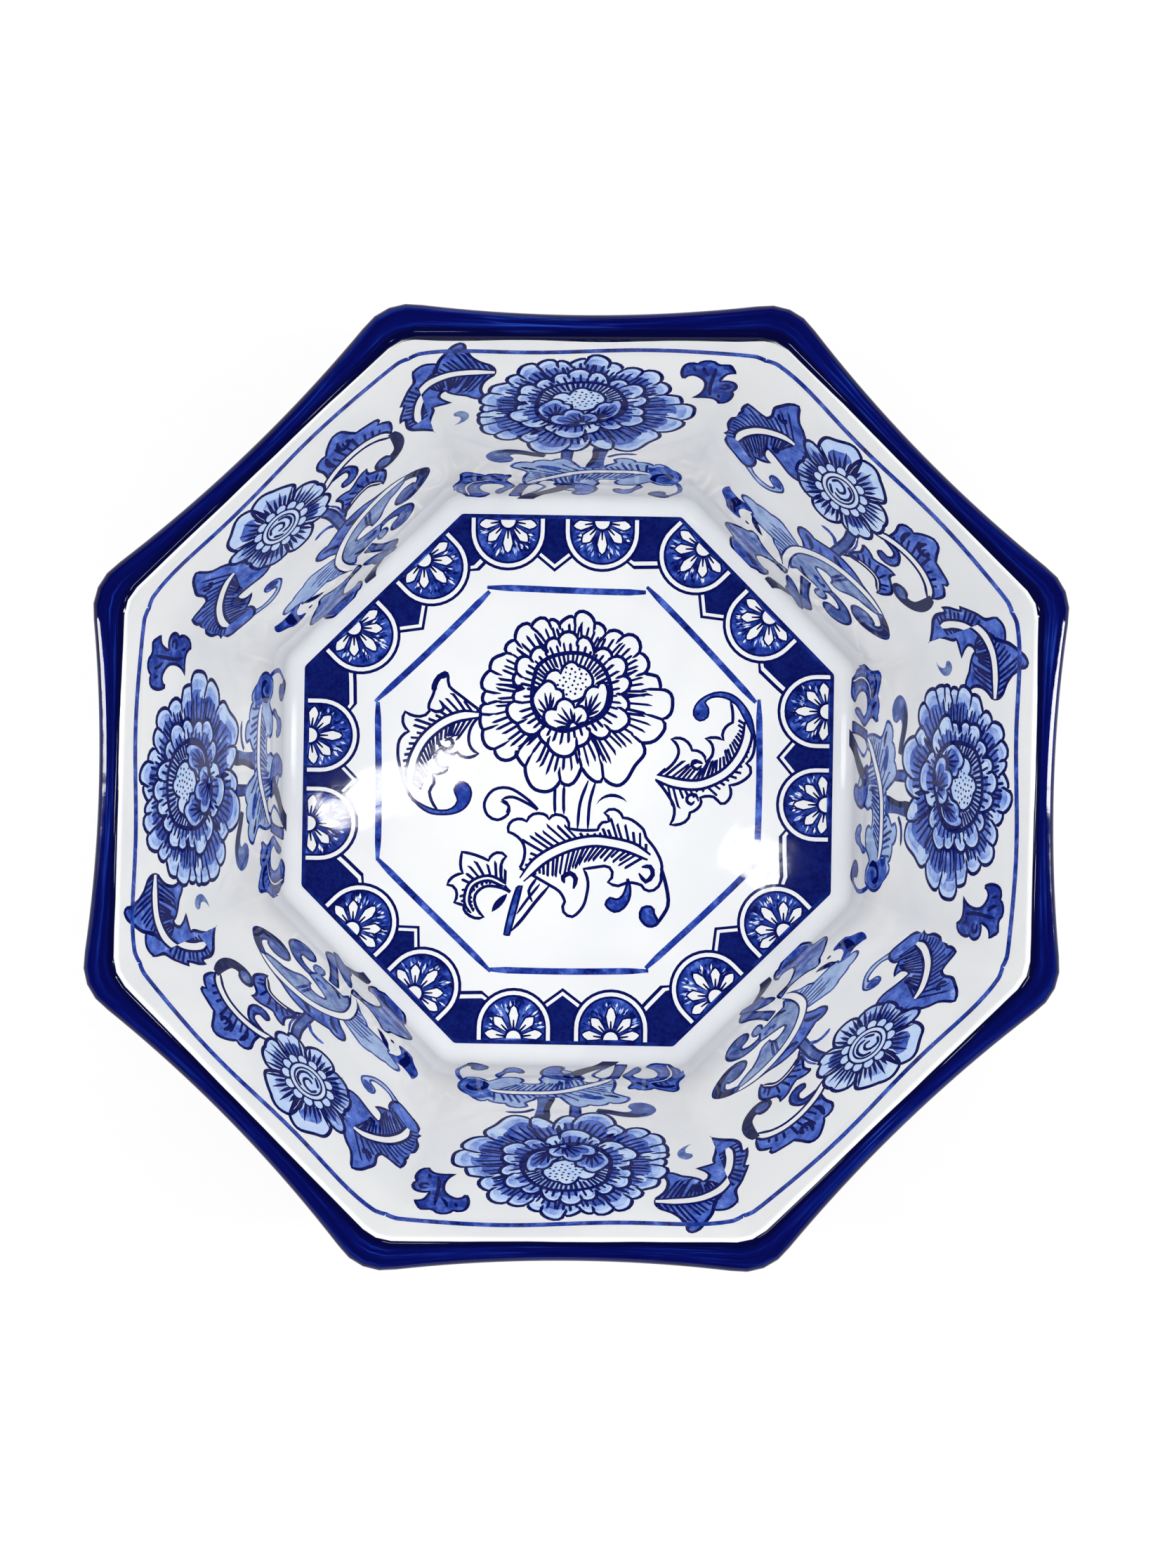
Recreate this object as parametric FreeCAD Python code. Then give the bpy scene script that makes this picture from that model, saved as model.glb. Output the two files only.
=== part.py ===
"""Octagonal porcelain serving bowl, slab-built, in millimetres.

The bowl is made the way angular porcelain is made by hand.  An octagonal floor slab is ringed by eight
wall panels, mitred and luted at the corners.  A thick rounded lip is luted round the top of the panels,
and a foot ring is luted under the floor.  The origin is the middle of the resting plane, +Z is up, and
the front panel faces -Y.

Every level of the bowl is an octagon with eased corners.  Inside, its sides are straight.  Outside, the
sides draw in between the corners near the lip, which gives the rim its scalloped outline.  The bowl is
hand made, so its rim is a little out of true: longer along one line across it and shorter the other way.
"""
import FreeCAD
import Part
import math
import os

V = FreeCAD.Vector

# Driving dimensions --------------------------------------------------------------------------------
bowl_width = 305.2        # over the lip, between the lines that span the corners of two facing sides
bowl_height = 140.0       # resting plane to the top of the lip
floor_width = 190.0       # flat octagonal floor inside, across flats
floor_thickness = 7.0
wall_thickness = 6.0      # square to the wall
wall_base_slope = 82.5    # degrees from level, just above the cove; the wall flares on its way up
floor_margin = 1.0        # flat left on the panels between the floor slab and the cove
cove_radius = 6.0         # soft turn from the floor up into the walls
base_edge_radius = 5.0    # round under the outside of the walls
lip_height = 9.0          # lip piece, from its seat on the panels to its top
lip_width = 7.2           # lip at the middle of a side, seen from above
lip_overhang = 1.4        # lip stands out past the wall at its seat
lip_band = 4.6            # upright band round the outside of the lip, below its top
lip_round = 3.0           # rounding of the lip's top edges
side_draw = 4.4           # how far each side draws in between its corners at the lip
draw_depth = 34.0         # height below the top of the lip over which that draw fades away
floor_corner_radius = 2.0
lip_inner_corner_radius = 12.0
lip_outer_corner_radius = 17.0
base_outer_corner_radius = 14.0
foot_height = 9.0
foot_width = 168.0        # foot ring, across flats at its top
foot_wall = 9.0           # foot ring's thickness where it joins the floor
foot_taper = 1.5          # each face of the foot ring leans in by this towards the resting edge
foot_corner_radius = 12.0
foot_inner_corner_radius = 7.5
foot_edge_radius = 1.6
rim_stretch = 0.0126      # rim out of true: this share longer along one line and shorter across it
rim_stretch_angle = 33.8  # direction of that line, in degrees from +X

# Worked-out sizes ----------------------------------------------------------------------------------
SIDES = 8
WALL_BANDS = 7            # level bands that the flare of a wall is built in
ROUND_BANDS = 4           # the same for each rounded edge
HALF_TURN = math.pi / SIDES                     # half the angle that one side takes up
PANELS = ("front", "front_right", "right", "back_right", "back", "back_left", "left", "front_left")
floor_top = foot_height + floor_thickness
lip_seat = bowl_height - lip_height
cove_start = floor_width / 2 + floor_margin
mouth_half = bowl_width / 2 - side_draw - lip_width       # inside of the wall, carried up to the lip's top
base_slope = math.radians(wall_base_slope)


def wall_line():
    """Ends, centre and radius of the arc that the inside of a wall follows, as (half width, height)."""
    low = (cove_start + cove_radius * math.sin(base_slope),
           floor_top + cove_radius * (1 - math.cos(base_slope)))
    high = (mouth_half, bowl_height)
    rise, run = high[1] - low[1], high[0] - low[0]
    radius = math.hypot(rise, run) / (2 * math.sin(base_slope - math.atan2(rise, run)))
    centre = (low[0] + radius * math.sin(base_slope), low[1] - radius * math.cos(base_slope))
    return low, centre, radius


WALL_LOW, WALL_CENTRE, WALL_RADIUS = wall_line()


def slope_at(z):
    """Steepness of the wall at height z, from level."""
    return math.acos((z - WALL_CENTRE[1]) / WALL_RADIUS)


def inner_half(z):
    """Half width across flats of the inside of the wall at height z."""
    return WALL_CENTRE[0] - WALL_RADIUS * math.sin(slope_at(z))


def outer_half(z):
    """The same for the outside, one wall thickness away along the slope."""
    return inner_half(z) + wall_thickness / math.sin(slope_at(z))


def mix(low, high, share):
    return low + (high - low) * share


def steps(low, high, count):
    """Evenly spaced values from low to high, with both ends."""
    return [mix(low, high, i / count) for i in range(count + 1)]


def wall_share(z):
    """0 at the inside floor and 1 at the top of the lip."""
    return (z - floor_top) / (bowl_height - floor_top)


def inner_corner(z):
    low = floor_corner_radius + WALL_LOW[0] - floor_width / 2
    return mix(low, lip_inner_corner_radius, wall_share(z))


def outer_corner(z):
    return mix(base_outer_corner_radius, lip_outer_corner_radius, wall_share(z))


def draw_at(z):
    """Draw of the outside of a side at height z: nothing low down, growing as a square to the lip."""
    share = max(0.0, (z - (bowl_height - draw_depth)) / draw_depth)
    return side_draw * share * share


def placed(x, y, z, angle):
    """A point given in a side's own axes, x outwards and y along it, turned to its place and pulled
    out of true by its share of the wall's height."""
    c, s = math.cos(angle), math.sin(angle)
    across, back = x * c - y * s, x * s + y * c
    pull = rim_stretch * max(0.0, wall_share(z))
    double = math.radians(2 * rim_stretch_angle)
    return V(across + pull * (across * math.cos(double) + back * math.sin(double)),
             back + pull * (across * math.sin(double) - back * math.cos(double)), z)


def octagon(half, corner, z, draw=0.0):
    """Closed outline at height z. half is from the axis to the chord over a side's sharp corners,
    corner the radius that eases them, and draw how far the middle of a side lies inside that chord."""
    half_side = half * math.tan(HALF_TURN)
    if draw > 1e-6:
        bend = (half_side * half_side + draw * draw) / (2 * draw)
        side_centre = half - draw + bend
        # The easing circle sits on the corner's own line and touches the circles of both sides.
        b = -side_centre * math.cos(HALF_TURN)
        c = side_centre * side_centre - (bend + corner) ** 2
        reach = -b - math.sqrt(b * b - c)
        ease = (reach * math.cos(HALF_TURN), reach * math.sin(HALF_TURN))
        away = (side_centre - ease[0], -ease[1])
        size = math.hypot(*away)
        touch = (ease[0] + corner * away[0] / size, ease[1] + corner * away[1] / size)
    else:
        reach = half / math.cos(HALF_TURN) - corner / math.cos(HALF_TURN)
        ease = (reach * math.cos(HALF_TURN), reach * math.sin(HALF_TURN))
        touch = (half, ease[1])
    tip = reach + corner
    edges = []
    for side in range(SIDES):
        angle = 2 * HALF_TURN * side
        start = placed(touch[0], -touch[1], z, angle)
        end = placed(touch[0], touch[1], z, angle)
        middle = placed(half - draw, 0, z, angle)
        after = placed(touch[0], -touch[1], z, angle + 2 * HALF_TURN)
        peak = placed(tip, 0, z, angle + HALF_TURN)
        if draw > 1e-6:
            edges.append(Part.Arc(start, middle, end).toShape())
        else:
            edges.append(Part.LineSegment(start, end).toShape())
        edges.append(Part.Arc(end, peak, after).toShape())
    return Part.Wire(edges)


def stack(levels):
    """Solid through a stack of octagons, each given as (half width, corner radius, height, draw)."""
    return Part.makeLoft([octagon(half, corner, z, draw) for half, corner, z, draw in levels], True, True)


def cove_levels():
    """Cavity from the floor up the cove to the foot of the walls."""
    levels = []
    for slope in steps(0, base_slope, ROUND_BANDS):
        out = cove_radius * math.sin(slope)
        rise = cove_radius * (1 - math.cos(slope))
        levels.append((cove_start + out, floor_corner_radius + floor_margin + out, floor_top + rise, 0))
    return levels


def mouth_levels():
    """Cavity at the top of the wall, opening out over the rounded inner edge of the lip."""
    steepest = slope_at(bowl_height - lip_round / 2)
    tangent = bowl_height - lip_round * (1 - math.cos(steepest))
    levels = []
    for slope in steps(steepest, 0, ROUND_BANDS):
        out = lip_round * (math.sin(steepest) - math.sin(slope))
        rise = lip_round * (math.cos(slope) - math.cos(steepest))
        levels.append((inner_half(tangent) + out, inner_corner(tangent) + out, tangent + rise, 0))
    return levels


def cavity():
    """Space inside the bowl, carried past the top of the lip so that it cuts clean."""
    walls = [(inner_half(z), inner_corner(z), z, 0) for z in steps(WALL_LOW[1], lip_seat, WALL_BANDS)]
    mouth = mouth_levels()
    half, corner, z, draw = mouth[-1]
    return stack(cove_levels() + walls[1:] + mouth + [(half, corner, z + lip_height, draw)])


def base_levels():
    """Rounded turn from under the floor up into the outside of the walls."""
    tangent = foot_height + base_edge_radius * (1 - math.cos(base_slope))
    levels = []
    for slope in steps(0, base_slope, ROUND_BANDS):
        back = base_edge_radius * (math.sin(base_slope) - math.sin(slope))
        rise = base_edge_radius * (1 - math.cos(slope))
        levels.append((outer_half(tangent) - back, outer_corner(tangent) - back, foot_height + rise, 0))
    return levels


def wall_ring():
    """All eight panels in one: outside form less the cavity and the floor slab."""
    base = base_levels()
    walls = [(outer_half(z), outer_corner(z), z, draw_at(z)) for z in steps(base[-1][2], lip_seat, WALL_BANDS)]
    return stack(base + walls[1:]).cut(cavity()).cut(floor_slab())


def wall_panel(ring, index):
    """One panel, cut from the ring by the two mitre planes at its corners."""
    reach = bowl_width
    angle = 2 * HALF_TURN * index - math.pi / 2
    middle = placed(0, 0, 0, angle)
    sides = [placed(reach, way * reach * math.tan(HALF_TURN), 0, angle) for way in (-1, 1)]
    wedge = Part.Face(Part.makePolygon([middle] + sides + [middle])).extrude(V(0, 0, bowl_height))
    return ring.common(wedge)


def floor_slab():
    half = floor_width / 2
    return stack([(half, floor_corner_radius, z, 0) for z in (foot_height, floor_top)])


def lip():
    """Rounded lip on top of the panels: inside it follows the wall, outside it is drawn in like them."""
    levels = [(outer_half(lip_seat) + lip_overhang, outer_corner(lip_seat), lip_seat, draw_at(lip_seat))]
    levels.append((bowl_width / 2, lip_outer_corner_radius, bowl_height - lip_band, side_draw))
    for turn in steps(0, math.pi / 2, ROUND_BANDS):
        back = lip_round * (1 - math.cos(turn))
        z = bowl_height - lip_round * (1 - math.sin(turn))
        levels.append((bowl_width / 2 - back, lip_outer_corner_radius - back, z, side_draw))
    return stack(levels).cut(cavity())


def foot_ring():
    """Octagonal ring that the bowl stands on, narrower at its resting edge, which is eased both sides."""
    outer_top = foot_width / 2
    inner_top = outer_top - foot_wall
    outside, inside = [], []
    for turn in steps(0, math.pi / 2, ROUND_BANDS):
        ease = foot_edge_radius * (1 - math.sin(turn))
        z = foot_edge_radius * (1 - math.cos(turn))
        outside.append((outer_top - foot_taper - ease, foot_corner_radius, z, 0))
        inside.append((inner_top + foot_taper + ease, foot_inner_corner_radius, z, 0))
    outside.append((outer_top, foot_corner_radius, foot_height, 0))
    inside.append((inner_top, foot_inner_corner_radius, foot_height, 0))
    return stack(outside).cut(stack(inside))


def report(name, shape):
    solids = shape.Solids
    box = shape.BoundBox
    print("%-24s solids %d valid %s volume %.1f cm3 box %.2f..%.2f %.2f..%.2f %.2f..%.2f" % (
        name, len(solids), shape.isValid(), shape.Volume / 1000,
        box.XMin, box.XMax, box.YMin, box.YMax, box.ZMin, box.ZMax))


def main():
    os.makedirs("parts", exist_ok=True)
    ring = wall_ring()
    pieces = {"floor_slab": floor_slab()}
    for index, name in enumerate(PANELS):
        pieces["wall_panel_" + name] = wall_panel(ring, index)
    pieces["lip"] = lip()
    pieces["foot_ring"] = foot_ring()
    for name, shape in pieces.items():
        report(name, shape)
        shape.exportStep("parts/%s.step" % name)


main()
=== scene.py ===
"""Looks of the octagonal blue-and-white porcelain serving bowl, as a Blender add-on.

Every piece is built over its solid in the frame.  The painting is laid out in millimetres on flat sheets:
one for the floor, one for the panels at the front, back, left and right, and one for the four between them.
A sheet is painted in layers like the real ware, later over earlier.  It is then cut into facets along every
brush mark, bent onto its piece, and each facet keeps how much cobalt it carries.
"""
import bpy
import collections
import functools
import math
import numpy as np
import random
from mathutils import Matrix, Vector
from mathutils.geometry import delaunay_2d_cdt


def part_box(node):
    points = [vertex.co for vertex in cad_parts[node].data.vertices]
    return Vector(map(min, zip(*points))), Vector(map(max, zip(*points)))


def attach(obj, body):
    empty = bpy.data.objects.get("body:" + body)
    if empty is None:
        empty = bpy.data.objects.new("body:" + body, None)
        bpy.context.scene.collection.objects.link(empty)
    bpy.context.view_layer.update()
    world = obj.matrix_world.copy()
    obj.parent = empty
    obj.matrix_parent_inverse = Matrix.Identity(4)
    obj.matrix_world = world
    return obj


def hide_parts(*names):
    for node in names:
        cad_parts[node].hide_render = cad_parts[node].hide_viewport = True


bl_info = {
    "name": "Octagonal Porcelain Bowl",
    "version": (1, 0, 0),
    "blender": (4, 5, 0),
    "location": "3D View > Sidebar > Bowl",
    "description": "Builds the painted octagonal porcelain serving bowl over its frame",
    "category": "Object",
}

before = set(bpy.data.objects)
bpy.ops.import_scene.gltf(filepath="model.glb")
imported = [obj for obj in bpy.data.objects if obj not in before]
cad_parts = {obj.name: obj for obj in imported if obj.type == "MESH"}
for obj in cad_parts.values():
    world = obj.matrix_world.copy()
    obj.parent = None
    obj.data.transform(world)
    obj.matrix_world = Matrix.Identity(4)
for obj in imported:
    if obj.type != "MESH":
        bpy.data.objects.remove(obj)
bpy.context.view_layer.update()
MM = 0.001
SIDES = 8
HALF_TURN = math.pi / SIDES
PANELS = ("front", "front_right", "right", "back_right", "back", "back_left", "left", "front_left")


# Sizes and colours ---------------------------------------------------------------------------------
def across(node):
    """Width of a node of the frame"""
    low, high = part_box(node)
    return high[0] - low[0]


def length(name, default, description):
    """A size on the panel, in metres"""
    return bpy.props.FloatProperty(name=name, description=description, default=default, unit="LENGTH",
                                   precision=4, min=0.0)


def colour(name, default, description):
    """A colour on the panel"""
    return bpy.props.FloatVectorProperty(name=name, description=description, default=default, size=3,
                                         subtype="COLOR", min=0.0, max=1.0)


class BowlSizes(bpy.types.PropertyGroup):
    """Sizes of the bowl, read from the frame where it holds them"""
    height: length("Height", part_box("lip")[1][2], "Resting plane to the top of the lip")
    seat: length("Lip seat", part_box("lip")[0][2], "Height of the joint between the panels and the lip")
    floor_top: length("Floor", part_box("floor_slab")[1][2], "Height of the inside floor")
    foot_height: length("Foot height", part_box("foot_ring")[1][2], "Height of the foot ring")
    floor_width: length("Floor width", across("floor_slab"), "Floor across flats")
    foot_width: length("Foot width", across("foot_ring"), "Foot ring across flats at its top")
    mouth: length("Mouth", 0.141, "Half width across flats inside the lip")
    lip_half: length("Lip", 0.1526, "Half width to the line over the corners of a side")
    wall: length("Wall", 0.006, "Thickness square to the wall")
    overhang: length("Lip overhang", 0.0014, "How far the lip stands out past the wall at its seat")
    rounding: length("Lip rounding", 0.003, "Rounding of the lip's top edges")
    draw: length("Side draw", 0.0044, "How far a side draws in between its corners at the lip")
    draw_depth: length("Draw depth", 0.034, "Height over which that draw fades away")
    cove: length("Cove", 0.006, "Radius of the turn from the floor into the walls")
    margin: length("Floor margin", 0.001, "Flat left on the panels beside the floor")
    base_edge: length("Base rounding", 0.005, "Round under the outside of the walls")
    floor_corner: length("Floor corner", 0.002, "Easing of the floor's corners")
    inner_corner: length("Mouth corner", 0.012, "Easing of the corners inside the lip")
    outer_corner: length("Lip corner", 0.017, "Easing of the corners outside the lip")
    base_corner: length("Base corner", 0.014, "Easing of the outside corners low down")
    foot_wall: length("Foot wall", 0.009, "Thickness of the foot ring at its top")
    foot_taper: length("Foot taper", 0.0015, "Lean of each face of the foot ring")
    foot_corner: length("Foot corner", 0.008, "Easing of the corners along the middle of the foot ring")
    foot_ease: length("Foot easing", 0.0016, "Rounding of the resting edge")
    slope: bpy.props.FloatProperty(name="Base slope", description="Steepness of the wall above the cove",
                                   default=math.radians(82.5), subtype="ANGLE")
    pull: bpy.props.FloatProperty(name="Out of true", description="Share by which the rim is pulled",
                                  default=0.0126, min=0.0, max=0.1)
    pull_turn: bpy.props.FloatProperty(name="Pull direction", description="Direction of that pull",
                                       default=math.radians(33.8), subtype="ANGLE")


class BowlColours(bpy.types.PropertyGroup):
    """Colours of the glaze and the cobalt"""
    glaze: colour("Glaze", (0.835, 0.833, 0.8), "White of the glazed body")
    # Grey-blue for the glaze's cloudy tone at random, and for the painted shade low on the walls, over the
    # floor and near the mouth.
    pooled: colour("Pooled glaze", (0.66, 0.675, 0.69), "Grey-blue where the glaze is thick")
    pale: colour("Pale wash", (0.42, 0.56, 0.82), "Thinnest cobalt")
    wash: colour("Wash", (0.085, 0.16, 0.55), "Cobalt wash")
    strong: colour("Strong wash", (0.012, 0.035, 0.26), "Cobalt laid on thick")
    line: colour("Cobalt line", (0.0012, 0.0024, 0.068), "Darkest cobalt")
    slate: colour("Slate wash", (0.03, 0.031, 0.05), "Greyed cobalt of the stems")
    band: colour("Rim blue", (0.0008, 0.0026, 0.085), "Cobalt glaze of the lip")
    # Rim light: painted highlight on the top of the lip.
    thin: colour("Rim light", (0.012, 0.05, 0.33), "Cobalt glaze where it lies thin")
    # Rim dark: painted shade on the lip's inner rounding.
    black: colour("Rim dark", (0.0006, 0.001, 0.028), "Cobalt glaze where it runs thick")
    biscuit: colour("Biscuit", (0.62, 0.55, 0.45), "Bare fired edge of the foot")


# Form ----------------------------------------------------------------------------------------------
class Form:
    """Every surface of the bowl, in millimetres, worked out from the sizes"""

    def __init__(self, sizes):
        for name in sizes.__annotations__:
            value = getattr(sizes, name)
            plain = name in ("slope", "pull", "pull_turn")
            setattr(self, name, value if plain else value / MM)
        self.floor_half = self.floor_width / 2
        cove_start = self.floor_half + self.margin
        self.low = (cove_start + self.cove * math.sin(self.slope),
                    self.floor_top + self.cove * (1 - math.cos(self.slope)))
        rise, run = self.height - self.low[1], self.mouth - self.low[0]
        self.radius = math.hypot(rise, run) / (2 * math.sin(self.slope - math.atan2(rise, run)))
        self.centre = (self.low[0] + self.radius * math.sin(self.slope),
                       self.low[1] - self.radius * math.cos(self.slope))
        self.start = math.asin((self.floor_top - self.centre[1]) / self.radius)
        self.v_wall = self.v_at(self.low[1])
        self.v_cove = self.v_wall - self.cove * self.slope
        self.v_floor = self.v_cove - self.margin
        self.v_seat = self.v_at(self.seat)
        self.mouth_slope = self.slope_at(self.height - self.rounding / 2)
        self.v_mouth = self.v_at(self.height - self.rounding * (1 - math.cos(self.mouth_slope)))

    def v_at(self, z):
        """Way up the inside of a wall to height z, measured along its arc from the floor's level"""
        return self.radius * (math.asin((z - self.centre[1]) / self.radius) - self.start)

    def slope_at(self, z):
        """Steepness of the inside of a wall at a height"""
        return math.acos((z - self.centre[1]) / self.radius)

    def share(self, z):
        """How far up from the floor to the top of the lip a height is"""
        return (z - self.floor_top) / (self.height - self.floor_top)

    def inner_half(self, z):
        """Half width of the inside at a height"""
        return self.centre[0] - self.radius * math.sin(self.slope_at(z))

    def outer_half(self, z):
        """Half width of the outside at a height"""
        return self.inner_half(z) + self.wall / math.sin(self.slope_at(z))

    def inner_ease(self, z):
        """Easing of the inside corners at a height"""
        low = self.floor_corner + self.low[0] - self.floor_half
        return low + (self.inner_corner - low) * self.share(z)

    def outer_ease(self, z):
        """Easing of the outside corners at a height"""
        return self.base_corner + (self.outer_corner - self.base_corner) * self.share(z)

    def draw_at(self, z):
        """How far a side draws in at a height"""
        share = max(0.0, (z - (self.height - self.draw_depth)) / self.draw_depth)
        return self.draw * share * share

    def inside(self, v):
        """Half width, height, corner easing and steepness of the inside at a way v up it"""
        if v >= self.v_wall:
            angle = self.start + v / self.radius
            z = self.centre[1] + self.radius * math.sin(angle)
            return self.centre[0] - self.radius * math.cos(angle), z, self.inner_ease(z), math.pi / 2 - angle
        turn = max(0.0, (v - self.v_cove) / self.cove)
        out = self.cove * math.sin(turn) + min(0.0, v - self.v_cove) + self.margin
        z = self.floor_top + self.cove * (1 - math.cos(turn))
        return self.floor_half + out, z, self.floor_corner + out, turn

    def placed(self, points, angle):
        """Points of one side, x outwards and y along it, turned to their place and pulled out of true"""
        x, y, z = points.T
        c, s = math.cos(angle), math.sin(angle)
        east, north = x * c - y * s, x * s + y * c
        pull = self.pull * np.maximum(0.0, self.share(z))
        c2, s2 = math.cos(2 * self.pull_turn), math.sin(2 * self.pull_turn)
        return np.stack([east + pull * (east * c2 + north * s2),
                         north + pull * (east * s2 - north * c2), z], 1)


def straight_side(half, ease):
    """Ends of a side: half its straight length, and that with half a corner"""
    straight = (half - ease) * math.tan(HALF_TURN)
    return straight, straight + ease * HALF_TURN


def side_point(half, ease, draw, share):
    """Place and outward direction at a share of the way from a side's middle to its corner"""
    way, share = math.copysign(1, share), abs(share)
    if draw > 1e-6:
        half_side = half * math.tan(HALF_TURN)
        bend = (half_side * half_side + draw * draw) / (2 * draw)
        hub = half - draw + bend
        reach = hub * math.cos(HALF_TURN) - math.sqrt((hub * math.cos(HALF_TURN)) ** 2 - hub * hub
                                                      + (bend + ease) ** 2)
        middle = (reach * math.cos(HALF_TURN), reach * math.sin(HALF_TURN))
        size = math.hypot(hub - middle[0], middle[1])
        lean = math.asin(middle[1] / size)
        side, corner = bend * lean, ease * (HALF_TURN + lean)
        along = share * (side + corner)
        if along <= side:
            turn = along / bend
            return hub - bend * math.cos(turn), way * bend * math.sin(turn), -turn, way
        turn = (along - side) / ease - lean
    else:
        straight, whole = straight_side(half, ease)
        along = share * whole
        if along <= straight:
            return half, way * along, 0.0, way
        middle = (half - ease, straight)
        turn = (along - straight) / ease
    return middle[0] + ease * math.cos(turn), way * (middle[1] + ease * math.sin(turn)), turn, way


def row(form, angle, half, ease, z, draw, shares, slope):
    """Points and directions of a level row across one side; slope is 0 where it faces up and a quarter
    turn where it faces outwards"""
    points, facing = [], []
    for share in shares:
        x, y, turn, way = side_point(half, ease, draw, share)
        points.append((x, y, z))
        flat = math.sin(slope)
        spin = angle + way * turn
        facing.append((flat * math.cos(spin), flat * math.sin(spin), math.cos(slope)))
    return form.placed(np.array(points), angle), np.array(facing)


# Painting ------------------------------------------------------------------------------------------
# A paint is how much cobalt there is, how much of it is greyed, and how far out on the glazed rim it lies.
BARE = (0.0, 0.0, 0.0)
INK = (1.0, 0.0, 0.0)


def spline(points, closed=False, pace=3.0):
    """Smooth line through points; a point given with a third value is a sharp turn between two round bows"""
    sharp = [len(p) > 2 for p in points]
    spots = [Vector(p[:2]) for p in points]
    count = len(spots)
    line = []
    for i in range(count if closed else count - 1):
        a, b = spots[i], spots[(i + 1) % count]
        chord = b - a
        before = spots[i - 1] if (closed or i > 0) else a - chord
        after = spots[(i + 2) % count] if (closed or i + 2 < count) else b + chord
        leave, arrive = (b - before) / 2, (after - a) / 2
        first, last = sharp[i], sharp[(i + 1) % count]
        if first and last:
            leave = arrive = chord
        elif first or last:
            # The bow leaves its sharp end at the angle at which it reaches the smooth one.
            along = chord.normalized()
            turned = (arrive if first else leave).normalized()
            across = max(0.0, turned.dot(along))
            reach = chord.length * 2 / (1 + max(0.35, across))
            mirrored = along * (2 * turned.dot(along)) - turned
            leave, arrive = (mirrored, turned) if first else (turned, mirrored)
            leave, arrive = leave * reach, arrive * reach
        parts = max(2, math.ceil(chord.length / pace))
        for step in range(parts):
            t = step / parts
            line.append(a * (2 * t ** 3 - 3 * t * t + 1) + leave * (t ** 3 - 2 * t * t + t)
                        + b * (3 * t * t - 2 * t ** 3) + arrive * (t ** 3 - t * t))
    if not closed:
        line.append(spots[-1])
    return line


# The loaded brush draws this much wider than its tip.
BRUSH_LOAD = 1.17


class Sheet:
    """A flat sheet that is painted in layers and then cut into facets along every mark"""

    def __init__(self, border, folds):
        self.spots = []
        self.edges = []
        self.areas = []
        self.paints = []
        self.area(border, BARE)
        for fold in folds:
            first = len(self.spots)
            self.spots += [Vector(p) for p in fold]
            self.edges += [(first + i, first + i + 1) for i in range(len(fold) - 1)]

    def area(self, points, paint):
        """A closed area in one paint, over all that was laid before it"""
        first, count = len(self.spots), len(points)
        self.spots += [Vector(p[:2]) for p in points]
        self.edges += [(first + i, first + (i + 1) % count) for i in range(count)]
        self.areas.append((first, count))
        self.paints.append(paint)

    def brush(self, line, width, paint, ends=(0.35, 0.35)):
        """A brush mark along a ready line: ends are the share of the width left at each end"""
        count = len(line) - 1
        left, right = [], []
        for i, spot in enumerate(line):
            ahead = line[min(i + 1, count)] - line[max(i - 1, 0)]
            if ahead.length < 1e-6:
                continue
            side = Vector((-ahead.y, ahead.x)).normalized()
            t = i / count
            half = BRUSH_LOAD * width / 2 * min(1.0, ends[0] + 4 * t, ends[1] + 4 * (1 - t))
            left.append(spot + side * half)
            right.append(spot - side * half)
        for i in range(len(left) - 1):
            self.area([left[i], left[i + 1], right[i + 1], right[i]], paint)

    def stroke(self, points, width, paint=INK, ends=(0.35, 0.35)):
        """A brush mark along the smooth line through a few points"""
        self.brush(spline(points, False, 2.2), width, paint, ends)

    def drawn_round(self, line, width, paint=INK):
        """An even line all round a closed shape"""
        self.brush(line + [line[0]], width, paint, (1.0, 1.0))

    def cut(self):
        """Flat corners, triangles and each triangle's paint, that of the last mark over its middle"""
        spots, _, faces, _, _, _ = delaunay_2d_cdt(self.spots, self.edges, [], 0, 1e-4, False)
        flat = np.array([tuple(p) for p in spots])
        faces = np.array([tuple(face) for face in faces])
        middles = flat[faces].mean(axis=1)
        marks = np.array([tuple(p) for p in self.spots])
        top = np.full(len(faces), -1)
        for number, (first, count) in enumerate(self.areas):
            line = marks[first:first + count]
            near = np.nonzero(np.all((middles > line.min(0)) & (middles < line.max(0)), axis=1))[0]
            if number and len(near):
                near = near[top[near] >= 0]
            top[near[wound(middles[near], line)]] = number
        kept = np.nonzero(top >= 0)[0]
        return flat, [tuple(face) for face in faces[kept].tolist()], [self.paints[i] for i in top[kept]]


def wound(spots, line):
    """Which spots a closed line goes round"""
    turns = np.zeros(len(spots), int)
    for (ax, ay), (bx, by) in zip(line, np.roll(line, -1, axis=0)):
        side = (bx - ax) * (spots[:, 1] - ay) - (by - ay) * (spots[:, 0] - ax)
        turns += ((ay <= spots[:, 1]) & (by > spots[:, 1]) & (side > 0)).astype(int)
        turns -= ((ay > spots[:, 1]) & (by <= spots[:, 1]) & (side < 0)).astype(int)
    return turns != 0


def rim_of(corners):
    """Ordered loop of the edges that only one triangle has"""
    ahead = {}
    for face in corners:
        for a, b in zip(face, face[1:] + face[:1]):
            ahead[(a, b)] = True
    follow = {a: b for a, b in ahead if (b, a) not in ahead}
    start = next(iter(follow))
    loop = [start]
    while follow[loop[-1]] != start:
        loop.append(follow[loop[-1]])
    return loop


def zip_rows(one, two, one_at, two_at):
    """Triangles between two rows of corners that run the same way, by how far along each one lies"""
    faces, i, j = [], 0, 0
    while i < len(one) - 1 or j < len(two) - 1:
        if j == len(two) - 1 or (i < len(one) - 1 and one_at[i + 1] <= two_at[j + 1]):
            faces.append((one[i], one[i + 1], two[j]))
            i += 1
        else:
            faces.append((one[i], two[j + 1], two[j]))
            j += 1
    return faces


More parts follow.
